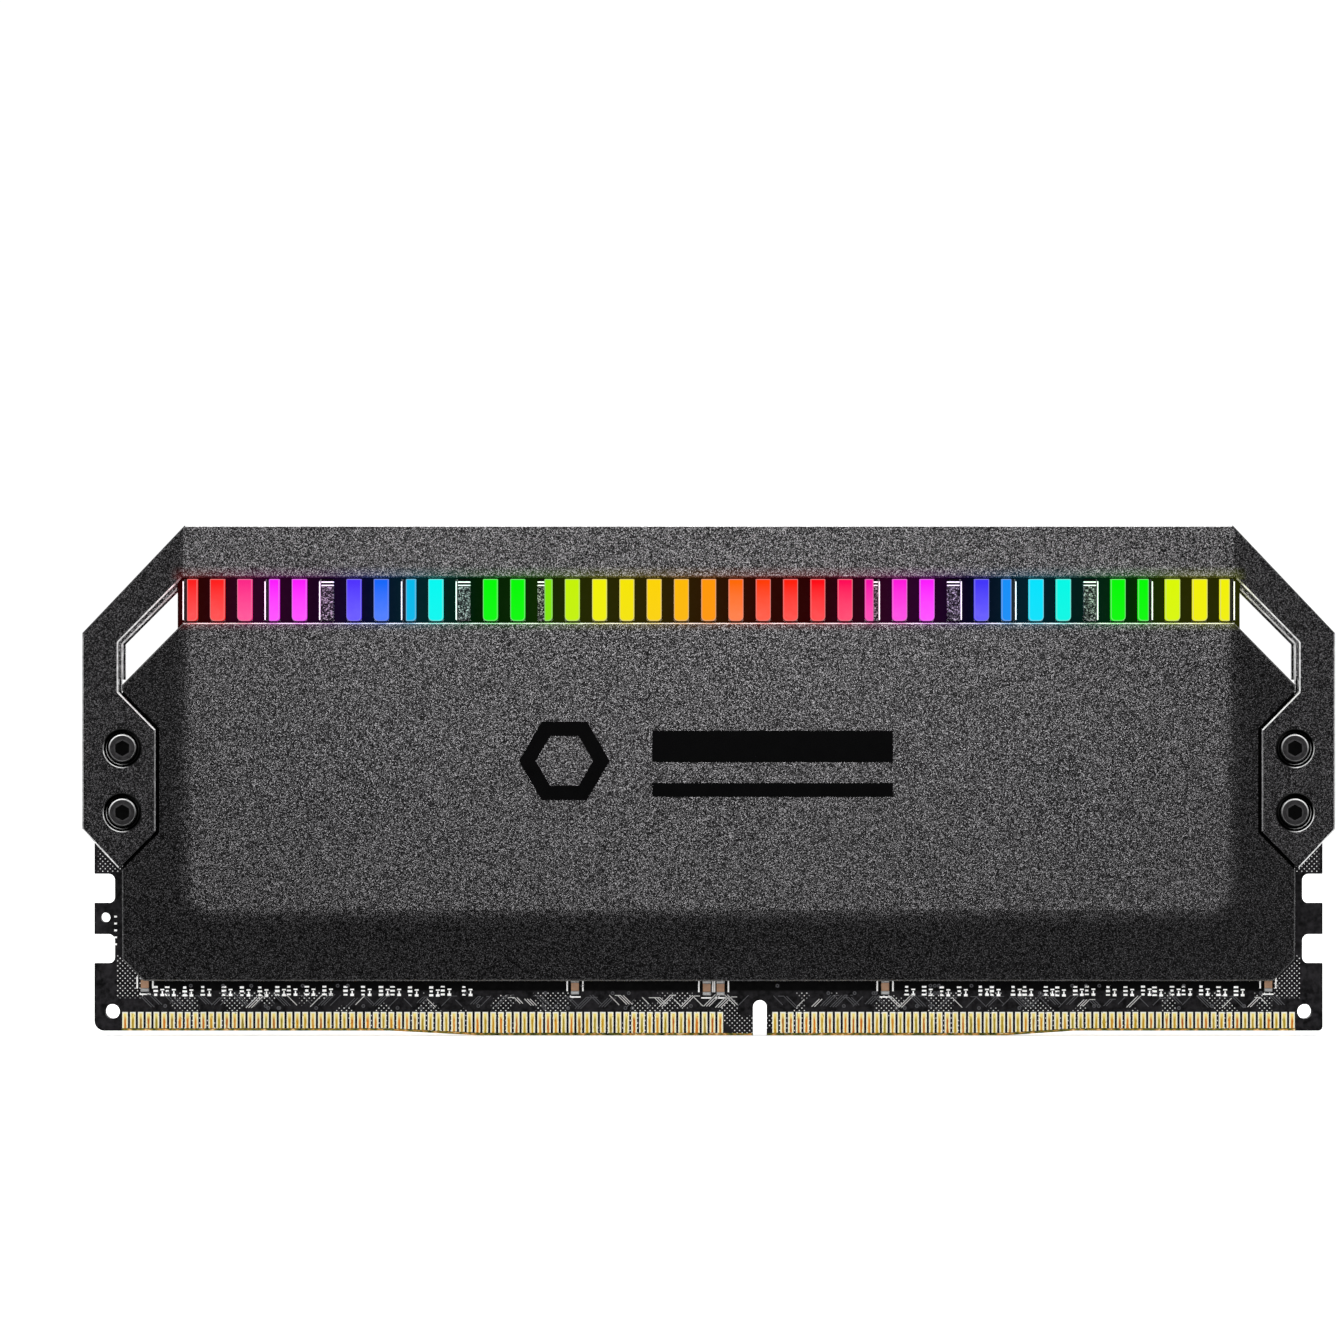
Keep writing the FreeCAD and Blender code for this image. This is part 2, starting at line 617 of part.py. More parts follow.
def top_frame():
    frame = plate(with_left_twin(frame_outline()), -FACE_Y, FACE_Y).common(frame_section())
    frame = frame.makeChamfer(EDGE_CHAMFER, [edge for edge in frame_face_edges(frame) if not is_fold(edge)])
    step = opening_step()
    frame = frame.fuse([step, mirror_x(step)])
    fork = box(TAB_INNER_X - OVERCUT, BEYOND, -EAR_OUTER_Y, EAR_OUTER_Y, 0, FORK_TOP_Z)
    channel = leg_channel()
    groove_y = GUIDE_GROOVE_HALF_WIDTH
    groove_x = COMB_HALF_LENGTH + GUIDE_GROOVE_END_GAP
    groove_low = FRAME_UNDERSIDE_Z - OVERCUT
    groove = box(-groove_x, groove_x, -groove_y, groove_y, groove_low, GUIDE_GROOVE_TOP_Z)
    cutters = [fork, mirror_x(fork), channel, mirror_x(channel), groove]
    for x, height in screw_places():
        cutters.append(rod(x, height, SCREW_CLEARANCE_DIAMETER, -FACE_Y, FACE_Y))
        cutters.append(rod(x, height, COUNTERBORE_DIAMETER, -FACE_Y - OVERCUT, -COUNTERBORE_FLOOR_Y))
        cutters.append(rod(x, height, COUNTERBORE_DIAMETER, COUNTERBORE_FLOOR_Y, FACE_Y + OVERCUT))
    frame = frame.cut(cutters)
    return frame.makeChamfer(COUNTERBORE_CHAMFER, [edge for edge in frame_face_edges(frame) if edge.Closed])


def frame_face_edges(frame):
    """Edges that lie on the frame's front or back surface."""
    front = front_rim(frame, lambda x, z: frame_front_y(x))
    return front + mirror_y_edges(frame, front)


def mirror_y_edges(shape, edges):
    """Edges of the shape that mirror the given ones across the board's middle plane."""
    found = []
    for edge in shape.Edges:
        centre = edge.CenterOfMass
        for twin in edges:
            other = twin.CenterOfMass
            if (centre - FreeCAD.Vector(other.x, -other.y, other.z)).Length < 1e-4:
                found.append(edge)
    return found


def is_fold(edge):
    """True for the upright edge where the frame's face starts to slope."""
    near_fold = abs(abs(edge.CenterOfMass.x) - FIELD_HALF_WIDTH) < 0.2
    upright = abs(edge.Vertexes[0].Z - edge.Vertexes[-1].Z) > 3
    return near_fold and upright


# ---------- light strip ----------

def window_places():
    return [(i - (WINDOW_COUNT - 1) / 2) * WINDOW_PITCH for i in range(WINDOW_COUNT)]


def light_guide():
    half = GUIDE_HALF_LENGTH
    core = box(-half, half, -GUIDE_CORE_Y, GUIDE_CORE_Y, GUIDE_BOTTOM_Z, GUIDE_TOP_Z)
    teeth = []
    for x in window_places():
        left = x - TOOTH_WIDTH / 2
        right = x + TOOTH_WIDTH / 2
        corners = [(left, TOOTH_BOTTOM_Z, TOOTH_LOWER_RADIUS), (right, TOOTH_BOTTOM_Z, TOOTH_LOWER_RADIUS)]
        corners += [(right, TOOTH_TOP_Z, TOOTH_UPPER_RADIUS), (left, TOOTH_TOP_Z, TOOTH_UPPER_RADIUS)]
        teeth.append(plate(corners, -TOOTH_FRONT_Y, TOOTH_FRONT_Y))
    return core.fuse(teeth)


def front_window_comb():
    half = COMB_HALF_LENGTH
    comb = box(-half, half, -COMB_OUTER_Y, -COMB_INNER_Y, COMB_BOTTOM_Z, GUIDE_TOP_Z)
    slots = []
    for x in window_places():
        reach = TOOTH_WIDTH / 2 + COMB_SLOT_GAP
        low = TOOTH_BOTTOM_Z - COMB_SLOT_GAP
        high = TOOTH_TOP_Z + COMB_SLOT_GAP
        slots.append(box(x - reach, x + reach, -FACE_Y, 0, low, high))
    return comb.cut(slots)


# ---------- screws and spacers ----------

def screw(x, z):
    """Low socket-head screw entering from the front."""
    seat = -COUNTERBORE_FLOOR_Y
    head_front = seat - SCREW_HEAD_HEIGHT
    head = rod(x, z, SCREW_HEAD_DIAMETER, head_front, seat)
    rim = [edge for edge in head.Edges if edge.Closed and edge.CenterOfMass.y < seat - 0.1]
    head = head.makeChamfer(SCREW_HEAD_BEVEL, rim)
    across_corners = HEX_SOCKET_FLATS / math.cos(math.radians(30))
    hexagon = []
    for i in range(6):
        angle = math.radians(60 * i + 30)
        reach = across_corners / 2
        hexagon.append((x + reach * math.cos(angle), z + reach * math.sin(angle), 0))
    socket = plate(hexagon, head_front - OVERCUT, head_front + HEX_SOCKET_DEPTH)
    shank = rod(x, z, SCREW_SHANK_DIAMETER, seat, -SCREW_SHANK_END_Y)
    return head.cut(socket).fuse(shank)


def front_screws():
    return Part.Compound([screw(x, height) for x, height in screw_places()])


def threaded_spacers():
    spacers = []
    for x, height in screw_places():
        blank = rod(x, height, SPACER_DIAMETER, -TRAY_RIM_Y, TRAY_RIM_Y)
        spacers.append(blank.cut(rod(x, height, SPACER_BORE_DIAMETER, -TRAY_RIM_Y, TRAY_RIM_Y)))
    return Part.Compound(spacers)


def front_thermal_pad():
    half = CHIP_FIRST_X + (CHIPS_PER_SIDE - 1) * CHIP_SPACING + CHIP_WIDTH / 2 + PAD_MARGIN_X
    chip_front = BOARD_HALF + CHIP_THICKNESS
    low = CHIP_CENTRE_Z - CHIP_HEIGHT / 2 - PAD_MARGIN_Z
    high = CHIP_CENTRE_Z + CHIP_HEIGHT / 2 + PAD_MARGIN_Z
    return box(-half, half, -TRAY_FLOOR_Y, -chip_front, low, high)


# ---------- the module ----------

def build_parts():
    contacts = front_contacts()
    chips = front_memory_chips()
    arrays = front_resistor_arrays()
    leds = front_leds()
    pad = front_thermal_pad()
    spreader = front_heat_spreader()
    comb = front_window_comb()
    screws = front_screws()
    return {
        "circuit_board": circuit_board(),
        "front_contacts": contacts,
        "rear_contacts": mirror_y(contacts),
        "front_memory_chips": chips,
        "rear_memory_chips": mirror_y(chips),
        "spd_chip": surface_part(*SPD_CHIP_PLACE, *SPD_CHIP_SIZE, SMALL_PART_BEVEL),
        "led_controller_chip": surface_part(*LED_CONTROLLER_PLACE, *LED_CONTROLLER_SIZE, SMALL_PART_BEVEL),
        "led_driver_chip": surface_part(*LED_DRIVER_PLACE, *LED_DRIVER_SIZE, SMALL_PART_BEVEL),
        "front_capacitors": front_capacitors(),
        "rear_capacitors": rear_capacitors(),
        "front_resistor_arrays": arrays,
        "rear_resistor_arrays": mirror_y(arrays),
        "front_leds": leds,
        "rear_leds": mirror_y(leds),
        "front_thermal_pad": pad,
        "rear_thermal_pad": mirror_y(pad),
        "front_heat_spreader": spreader,
        "rear_heat_spreader": mirror_y(spreader),
        "top_frame": top_frame(),
        "light_guide": light_guide(),
        "front_window_comb": comb,
        "rear_window_comb": mirror_y(comb),
        "front_screws": screws,
        "rear_screws": mirror_y(screws),
        "threaded_spacers": threaded_spacers(),
    }


os.makedirs("parts", exist_ok=True)
for name, shape in build_parts().items():
    assert shape.isValid(), name
    shape.exportStep(os.path.join("parts", name + ".step"))
    print(name, len(shape.Solids), "solids", round(shape.Volume, 3), "mm3")
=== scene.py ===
"""Looks of the desktop memory module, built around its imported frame. Metres, same axes as the frame."""

import math
import random

import bmesh
import bpy
from mathutils import Matrix, Vector


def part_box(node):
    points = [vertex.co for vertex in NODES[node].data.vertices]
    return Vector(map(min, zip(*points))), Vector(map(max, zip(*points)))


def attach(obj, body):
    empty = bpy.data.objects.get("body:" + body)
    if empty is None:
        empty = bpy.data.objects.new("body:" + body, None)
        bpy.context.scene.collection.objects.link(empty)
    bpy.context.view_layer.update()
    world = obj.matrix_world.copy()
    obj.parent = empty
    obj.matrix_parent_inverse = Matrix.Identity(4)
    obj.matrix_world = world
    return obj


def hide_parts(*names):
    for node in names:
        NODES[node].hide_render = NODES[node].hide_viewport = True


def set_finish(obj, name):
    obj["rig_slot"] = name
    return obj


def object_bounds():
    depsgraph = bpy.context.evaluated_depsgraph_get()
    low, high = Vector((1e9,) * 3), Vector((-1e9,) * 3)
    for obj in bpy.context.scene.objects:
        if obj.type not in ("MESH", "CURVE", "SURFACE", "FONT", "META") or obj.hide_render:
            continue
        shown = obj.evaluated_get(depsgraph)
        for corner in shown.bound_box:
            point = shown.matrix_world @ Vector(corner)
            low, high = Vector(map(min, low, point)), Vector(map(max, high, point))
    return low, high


MM = 0.001
BODY = "root"

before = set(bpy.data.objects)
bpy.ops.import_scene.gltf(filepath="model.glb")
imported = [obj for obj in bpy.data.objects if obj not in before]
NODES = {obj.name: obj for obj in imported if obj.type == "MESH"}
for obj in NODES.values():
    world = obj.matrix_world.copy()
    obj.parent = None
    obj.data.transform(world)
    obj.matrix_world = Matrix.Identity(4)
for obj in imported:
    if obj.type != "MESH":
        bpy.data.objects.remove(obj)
CAD_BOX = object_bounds()


# ---------- where things are, read from the frame ----------

SPREADER_LOW, SPREADER_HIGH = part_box("front_heat_spreader")
CONTACT_LOW, CONTACT_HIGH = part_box("front_contacts")
GUIDE_LOW, GUIDE_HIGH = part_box("light_guide")
COMB_LOW, COMB_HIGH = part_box("front_window_comb")
SCREW_LOW, SCREW_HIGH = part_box("front_screws")

BOARD_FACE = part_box("circuit_board")[1].y
FIELD_FACE = SPREADER_LOW.y
SCREW_FRONT = -SCREW_LOW.y
SCREW_RADIUS = 1.5 * MM
SCREW_X = SCREW_HIGH.x - SCREW_RADIUS
SCREW_MIDDLE_Z = (SCREW_LOW.z + SCREW_HIGH.z) / 2
SCREW_HALF_GAP = (SCREW_HIGH.z - SCREW_LOW.z) / 2 - SCREW_RADIUS

# Sizes that the frame's boxes don't tell
CONTACT_PITCH = 0.85 * MM
CONTACT_WIDTH = 0.6 * MM
WINDOW_COUNT = 39
WINDOW_PITCH = 2.95 * MM
WINDOW_WIDTH = 1.6 * MM
WINDOW_BOTTOM = 44.97 * MM
WINDOW_TOP = 49.5 * MM


# ---------- colours of the light strip ----------

RED = (0.97, 0.014, 0.013)
ROSE = (0.95, 0.022, 0.245)
MAGENTA = (0.95, 0.012, 0.96)
VIOLET = (0.080, 0.034, 0.95)
BLUE = (0.008, 0.135, 0.93)
CYAN = (0.001, 0.48, 0.82)
AQUA = (0.001, 0.92, 0.86)
GREEN = (0.001, 0.93, 0.001)
LIME = (0.22, 0.80, 0.001)
CITRON = (0.55, 0.88, 0.001)
LEMON = (0.87, 0.86, 0.001)
YELLOW = (0.90, 0.77, 0.001)
AMBER = (0.955, 0.64, 0.001)
HONEY = (0.965, 0.48, 0.001)
ORANGE = (0.98, 0.31, 0.001)
TANGERINE = (0.97, 0.14, 0.001)
FLAME = (0.97, 0.045, 0.001)
SCARLET = (0.97, 0.014, 0.003)
CRIMSON = (0.97, 0.003, 0.008)
CERISE = (0.97, 0.003, 0.095)
FUCHSIA = (0.92, 0.004, 0.38)
PINK = (0.97, 0.010, 0.70)
INDIGO = (0.055, 0.036, 0.92)
AZURE = (0.008, 0.27, 0.92)
SKY = (0.001, 0.75, 0.96)
TURQUOISE = (0.001, 0.92, 0.77)
SPRING = (0.69, 0.92, 0.001)
OFF = None

# Colour of each window from left to right
RAINBOW = (
    [RED, RED, ROSE, MAGENTA, MAGENTA, OFF, VIOLET, BLUE, CYAN, AQUA, OFF, GREEN, GREEN, LIME, CITRON]
    + [LEMON, YELLOW, AMBER, HONEY, ORANGE, TANGERINE, FLAME, SCARLET, CRIMSON, CERISE, FUCHSIA, PINK]
    + [MAGENTA, OFF, INDIGO, AZURE, SKY, TURQUOISE, OFF, GREEN, GREEN, SPRING, LEMON, LEMON]
)
# Windows that glow over a part of their width only: (from, to) as shares of the width
PARTLY_LIT = {0: (0.3, 1.0), 3: (0.3, 1.0), 8: (0.33, 1.0), 13: (0.47, 1.0), 25: (0.0, 0.57), 30: (0.0, 0.66),
              35: (0.0, 0.72), 38: (0.0, 0.66)}
# Of these, the ones whose dark part is speckled, and the one without a painted highlight line beside it
SPECKLED_PARTS = (13, 25)
UNLINED_PART = 13


# ---------- camera, lights and stage ----------

CAMERA_DISTANCE = 0.7
VIEW_WIDTH = 0.1450
CAMERA_OFFSET_X = -0.0044
CAMERA_HEIGHT = 0.03988
SENSOR_WIDTH = 36.0

WORLD_SEEN = 1.05
WORLD_LIGHT = 0.8
WORLD_MIRROR = 0.15
FLOOR_HALF_WIDTH = 0.9
FLOOR_GLOW = 0.35
MODULE_MIDDLE = (0, 0, 0.03)


def add_camera():
    data = bpy.data.cameras.new("camera")
    data.sensor_width = SENSOR_WIDTH
    data.lens = SENSOR_WIDTH * CAMERA_DISTANCE / VIEW_WIDTH
    data.clip_start = 0.01
    data.clip_end = 20.0
    camera = bpy.data.objects.new("camera", data)
    camera.location = (CAMERA_OFFSET_X, -BOARD_FACE - CAMERA_DISTANCE, CAMERA_HEIGHT)
    camera.rotation_euler = (math.radians(90), 0, 0)
    bpy.context.scene.collection.objects.link(camera)
    bpy.context.scene.camera = camera


def add_area_light(name, place, aim, size, watts, colour=(1, 1, 1)):
    data = bpy.data.lights.new(name, "AREA")
    data.shape = "RECTANGLE"
    data.size, data.size_y = size
    data.energy = watts
    data.color = colour
    light = bpy.data.objects.new(name, data)
    light.location = place
    light.rotation_euler = (Vector(aim) - Vector(place)).to_track_quat("-Z", "Y").to_euler()
    light.visible_camera = False
    bpy.context.scene.collection.objects.link(light)


def add_world():
    """White to the eye, softer as a light, and dim in reflections so that only the softboxes show."""
    world = bpy.data.worlds.new("studio")
    bpy.context.scene.world = world
    world.use_nodes = True
    tree = world.node_tree
    tree.nodes.clear()

    def background(colour, strength):
        made = tree.nodes.new("ShaderNodeBackground")
        made.inputs["Color"].default_value = (*colour, 1)
        made.inputs["Strength"].default_value = strength
        return made.outputs[0]

    def choose(ray, otherwise, chosen):
        made = tree.nodes.new("ShaderNodeMixShader")
        tree.links.new(path.outputs[ray], made.inputs["Fac"])
        tree.links.new(otherwise, made.inputs[1])
        tree.links.new(chosen, made.inputs[2])
        return made.outputs[0]

    path = tree.nodes.new("ShaderNodeLightPath")
    soft = background((1, 1, 1), WORLD_LIGHT)
    mirror = background((0.98, 0.98, 1.0), WORLD_MIRROR)
    seen = background((1, 1, 1), WORLD_SEEN)
    unseen = choose("Is Glossy Ray", soft, mirror)
    out = tree.nodes.new("ShaderNodeOutputWorld")
    tree.links.new(choose("Is Camera Ray", unseen, seen), out.inputs["Surface"])


def add_floor():
    mesh = bpy.data.meshes.new("floor")
    half = FLOOR_HALF_WIDTH
    drop = CAD_BOX[0][2] - 0.02 * MM
    mesh.from_pydata([(-half, -half, drop), (half, -half, drop), (half, half, drop), (-half, half, drop)],
                     [], [(0, 1, 2, 3)])
    floor = bpy.data.objects.new("floor", mesh)
    bpy.context.scene.collection.objects.link(floor)
    g = Graph("floor_paper")
    tone = g.ramp(g.noise(3.0, 2), [(0.3, (0.93, 0.93, 0.93)), (0.7, (0.95, 0.95, 0.95))])
    made = g.shader(tone, 0.9)
    made.inputs["Emission Color"].default_value = (1.0, 1.0, 1.0, 1.0)
    made.inputs["Emission Strength"].default_value = FLOOR_GLOW
    floor.data.materials.append(g.material)
    floor.visible_glossy = False


def add_lights():
    add_area_light("key_front", (0.02, -1.7, 0.22), MODULE_MIDDLE, (0.46, 0.42), 1.8)
    add_area_light("key_back", (-0.02, 1.7, 0.22), MODULE_MIDDLE, (0.46, 0.42), 1.8)
    add_area_light("overhead", (0, 0, 1.6), (0, 0, 0), (1.8, 1.8), 30.0)
    for side in (-1, 1):
        for depth in (-1, 1):
            place = (side * 1.35, depth * 1.05, 0.35)
            add_area_light("side_fill", place, MODULE_MIDDLE, (0.5, 0.9), 1.5)


# ---------- node graphs ----------

class Graph:
    """A material's node tree, with short calls for the nodes that the materials share."""

    def __init__(self, name):
        self.material = bpy.data.materials.new(name)
        self.material.use_nodes = True
        self.tree = self.material.node_tree
        self.tree.nodes.clear()
        self.out = self.tree.nodes.new("ShaderNodeOutputMaterial")
        self.place = self.tree.nodes.new("ShaderNodeTexCoord").outputs["Object"]

    def node(self, kind, **settings):
        made = self.tree.nodes.new(kind)
        for key, value in settings.items():
            setattr(made, key, value)
        return made

    def link(self, source, target):
        self.tree.links.new(source, target)

    def feed(self, socket, value):
        """Plain numbers and colours go on the socket itself, sockets are linked."""
        if isinstance(value, bpy.types.NodeSocket):
            self.link(value, socket)
        elif isinstance(value, (tuple, list)) and len(value) == 3 and socket.type == "RGBA":
            socket.default_value = (*value, 1.0)
        else:
            socket.default_value = value

    def parts(self, source):
        """The three parts of a place, a direction or a colour, as outputs X, Y and Z."""
        made = self.node("ShaderNodeSeparateXYZ")
        self.link(source, made.inputs[0])
        return made.outputs

    def axis(self, letter):
        return self.parts(self.place)[letter]

    def away(self, letter):
        """Distance from the module's middle along an axis."""
        return self.math("ABSOLUTE", self.axis(letter))

    def facing(self):
        """Parts of the surface's direction."""
        return self.parts(self.node("ShaderNodeNewGeometry").outputs["Normal"])

    def stretched(self, scale):
        made = self.node("ShaderNodeMapping")
        made.inputs["Scale"].default_value = scale
        self.link(self.place, made.inputs["Vector"])
        return made.outputs[0]

    def noise(self, scale, detail=3.0, roughness=0.55, at=None):
        """Noise, mostly between 0.3 and 0.7."""
        made = self.node("ShaderNodeTexNoise")
        self.link(at or self.place, made.inputs["Vector"])
        made.inputs["Scale"].default_value = scale
        made.inputs["Detail"].default_value = detail
        made.inputs["Roughness"].default_value = roughness
        return made.outputs["Fac"]

    def cells(self, scale):
        """A random number for each cell, and the distance from the cell's centre."""
        made = self.node("ShaderNodeTexVoronoi")
        self.link(self.place, made.inputs["Vector"])
        made.inputs["Scale"].default_value = scale
        return self.parts(made.outputs["Color"])["X"], made.outputs["Distance"]

    def ramp(self, source, stops):
        made = self.node("ShaderNodeValToRGB")
        elements = made.color_ramp.elements
        while len(elements) < len(stops):
            elements.new(0.5)
        for element, (position, colour) in zip(elements, stops):
            element.position = position
            element.color = (*colour, 1.0)
        self.link(source, made.inputs["Fac"])
        return made.outputs["Color"]

    def level(self, source, low, high, from_low=0.0, from_high=1.0):
        """A number that runs from low to high as source runs between its own two limits."""
        made = self.node("ShaderNodeMapRange")
        self.link(source, made.inputs["Value"])
        made.inputs["From Min"].default_value = from_low
        made.inputs["From Max"].default_value = from_high
        made.inputs["To Min"].default_value = low
        made.inputs["To Max"].default_value = high
        return made.outputs["Result"]

    def vary(self, noise, low=0.0, high=1.0):
        """A number that runs from low to high over the usual span of a noise."""
        return self.level(noise, low, high, 0.3, 0.7)

    def rise(self, value, low, high):
        """0 up to low, 1 from high on."""
        return self.level(value, 0.0, 1.0, low, high)

    def fall(self, value, low, high):
        """1 up to low, 0 from high on."""
        return self.level(value, 1.0, 0.0, low, high)

    def band(self, value, start, full, last, end):
        """0 up to start, 1 from full to last, 0 from end on."""
        return self.product(self.rise(value, start, full), self.fall(value, last, end))

    def math(self, operation, first, second=None):
        made = self.node("ShaderNodeMath", operation=operation)
        for socket, value in zip(made.inputs, (first, second)):
            if value is not None:
                self.feed(socket, value)
        return made.outputs[0]

    def product(self, first, *others):
        for other in others:
            first = self.math("MULTIPLY", first, other)
        return first

    def mix(self, factor, first, second):
        made = self.node("ShaderNodeMix", data_type="RGBA")
        self.feed(made.inputs["Factor"], factor)
        self.feed(made.inputs[6], first)
        self.feed(made.inputs[7], second)
        return made.outputs[2]

    def bump(self, height, strength, distance):
        made = self.node("ShaderNodeBump")
        made.inputs["Strength"].default_value = strength
        made.inputs["Distance"].default_value = distance
        self.link(height, made.inputs["Height"])
        return made.outputs[0]

    def edge_mask(self, radius):
        """Near 1 on convex and concave edges narrower than radius, 0 on flat faces."""
        bevel = self.node("ShaderNodeBevel", samples=4)
        bevel.inputs["Radius"].default_value = radius
        flat = self.node("ShaderNodeNewGeometry")
        dot = self.node("ShaderNodeVectorMath", operation="DOT_PRODUCT")
        self.link(bevel.outputs[0], dot.inputs[0])
        self.link(flat.outputs["Normal"], dot.inputs[1])
        return self.fall(dot.outputs["Value"], 0.8, 0.98)

    def shader(self, colour, roughness, metallic=0.0, normal=None, **more):
        made = self.node("ShaderNodeBsdfPrincipled")
        self.feed(made.inputs["Base Color"], colour)
        self.feed(made.inputs["Roughness"], roughness)
        made.inputs["Metallic"].default_value = metallic
        if normal is not None:
            self.link(normal, made.inputs["Normal"])
        for key, value in more.items():
            self.feed(made.inputs[key.replace("_", " ")], value)
        self.link(made.outputs[0], self.out.inputs["Surface"])
        return made


# ---------- metals ----------

GRAIN_SCALE = 12500
# Random number of a grain, and how bright grains of that number are
GRAINS = ((0.0, 0.010), (0.4, 0.020), (0.62, 0.08), (0.82, 0.28), (1.0, 0.68))
GRAIN_TINT = (1.0, 0.975, 1.0)
SPILL_STRENGTH = 0.075

# Soft limits of the places where a metal's look changes, as spans over which it changes.
# Painted glow of the strip's light on the metal above, below and beside it:
SPILL_ABOVE = (49.4 * MM, 49.5 * MM, 49.7 * MM, 50.9 * MM)
SPILL_BELOW = (43.9 * MM, 44.8 * MM, 44.85 * MM, 44.9 * MM)
SPILL_END = (56.9 * MM, 58.2 * MM)
# The frame's corner openings, the groove in their walls and the underside of the bar:
OPENING_FOOT = (36.6 * MM, 36.8 * MM)
OPENING_START = (57.0 * MM, 57.1 * MM)
GROOVE_SIDE = (1.2 * MM, 1.22 * MM)
BAR_UNDERSIDE = (48.9 * MM, 49.0 * MM)
# Rings around the screws, from the screw's axis: the painted shade of the counterbore, how far the crescents
# reach, and two painted highlight crescents:
SUNK_RING = (2.14 * MM, 2.16 * MM)
COUNTERBORE_END = (2.4 * MM, 2.45 * MM)
OUTER_CRESCENT = (2.04 * MM, 2.06 * MM, 2.3 * MM, 2.32 * MM)
INNER_CRESCENT = (1.72 * MM, 1.74 * MM, 1.81 * MM, 1.83 * MM)
# Depth of the spreader's sunk ears, which get a painted shadow, and the painted highlight line along its top:
EAR_DEPTH = (1.64 * MM, 1.70 * MM)
TOP_LINE = (SPREADER_HIGH.z - 0.11 * MM, SPREADER_HIGH.z - 0.08 * MM)


def facing_parts(g):
    """How far the surface faces the module's middle, up, and the front or back."""
    facing = g.facing()
    inward = g.product(g.math("SIGN", g.axis("X")), facing["X"], -1.0)
    return inward, facing["Z"], g.math("ABSOLUTE", facing["Y"])


def strip_tint(g):
    """Colour of the nearest lit windows, along X."""
    stops = []
    for index in range(0, WINDOW_COUNT - 1, 2):
        near = [colour or (0.0, 0.0, 0.0) for colour in RAINBOW[index:index + 2]]
        share = (window_x(index + 0.5) - COMB_LOW.x) / (COMB_HIGH.x - COMB_LOW.x)
        stops.append((share, tuple((a + b) / 2 for a, b in zip(*near))))
    return g.ramp(g.rise(g.axis("X"), COMB_LOW.x, COMB_HIGH.x), stops)


def blasted_metal(name, rim, shade, roughness, depth, extra_highlight=None):
    """Dark anodised aluminium with a sand-blasted sparkle; chamfers get painted highlights as far as rim
    says, and painted shade goes where shade says.
    """
    g = Graph(name)
    sparkle, from_centre = g.cells(GRAIN_SCALE)
    grains = [(share, tuple(bright * depth * tint for tint in GRAIN_TINT)) for share, bright in GRAINS]
    base = g.ramp(sparkle, grains)
    base = g.mix(g.level(g.noise(28), 0.0, 0.08, 0.35, 0.7), base, (0.18, 0.175, 0.18))
    inward, up, frontal = facing_parts(g)
    # Painted highlights on the chamfers, strongest where they face the way rim asks, broken up by scratches
    # below
    chamfer_highlight = g.product(g.fall(frontal, 0.80, 0.88), g.rise(frontal, 0.5, 0.6), rim(g, inward, up))
    if extra_highlight is not None:
        chamfer_highlight = g.math("MAXIMUM", chamfer_highlight, extra_highlight(g, inward, up, frontal))
    scratches = g.noise(700, 3.0, 0.6, g.stretched((1.0, 1.0, 3.0)))
    chamfer_highlight = g.product(chamfer_highlight, g.level(scratches, 0.72, 1.0, 0.35, 0.6))
    # Painted shade: the colour goes near black where shade says
    base = g.mix(shade(g, frontal), base, (0.0015, 0.0015, 0.0015))
    # Painted shade: faces that look straight up get most light, so their colour is darkened, which also calms
    # their grain
    base = g.mix(g.level(up, 0.0, 0.55, 0.9, 0.98), base, (0.035, 0.034, 0.035))
    tone = g.mix(chamfer_highlight, base, (0.88, 0.88, 0.88))
    rough = g.level(sparkle, roughness + 0.04, roughness - 0.04)
    made = g.shader(tone, rough, 1.0, g.bump(from_centre, 0.03, 0.02 * MM))
    g.link(g.level(chamfer_highlight, 1.0, 0.25), made.inputs["Metallic"])
    # Painted light: the strip's coloured glow on the metal next to it, as emission
    height = g.axis("Z")
    near_strip = g.math("MAXIMUM", g.band(height, *SPILL_ABOVE), g.band(height, *SPILL_BELOW))
    spill = g.product(near_strip, g.rise(frontal, 0.5, 0.9), g.fall(g.away("X"), *SPILL_END),
                      g.level(sparkle, 0.6, 1.4))
    g.link(g.mix(spill, (0.0, 0.0, 0.0), strip_tint(g)), made.inputs["Emission Color"])
    made.inputs["Emission Strength"].default_value = SPILL_STRENGTH
    return g.material


def screw_reach(g):
    """Distance from the axis of the nearest screw."""
    side = g.math("SUBTRACT", g.away("X"), SCREW_X)
    off_middle = g.math("ABSOLUTE", g.math("SUBTRACT", g.axis("Z"), SCREW_MIDDLE_Z))
    rise = g.math("SUBTRACT", off_middle, SCREW_HALF_GAP)
    return g.math("SQRT", g.math("ADD", g.product(side, side), g.product(rise, rise)))


def counterbore_shade(g, frontal):
    """Painted shade: 1 on the sunk rings around the screws, 0 elsewhere."""
    return g.fall(screw_reach(g), *SUNK_RING)


def ear_shade(g, frontal):
    """Painted shadow: 1 on the sunk ears that only show through the gap beside each tab, 0 elsewhere."""
    return g.product(g.fall(g.away("Y"), *EAR_DEPTH), g.rise(frontal, 0.9, 0.95))


def at_openings(g):
    """1 beside the frame's corner openings, 0 elsewhere."""
    return g.product(g.rise(g.axis("Z"), *OPENING_FOOT), g.rise(g.away("X"), *OPENING_START))


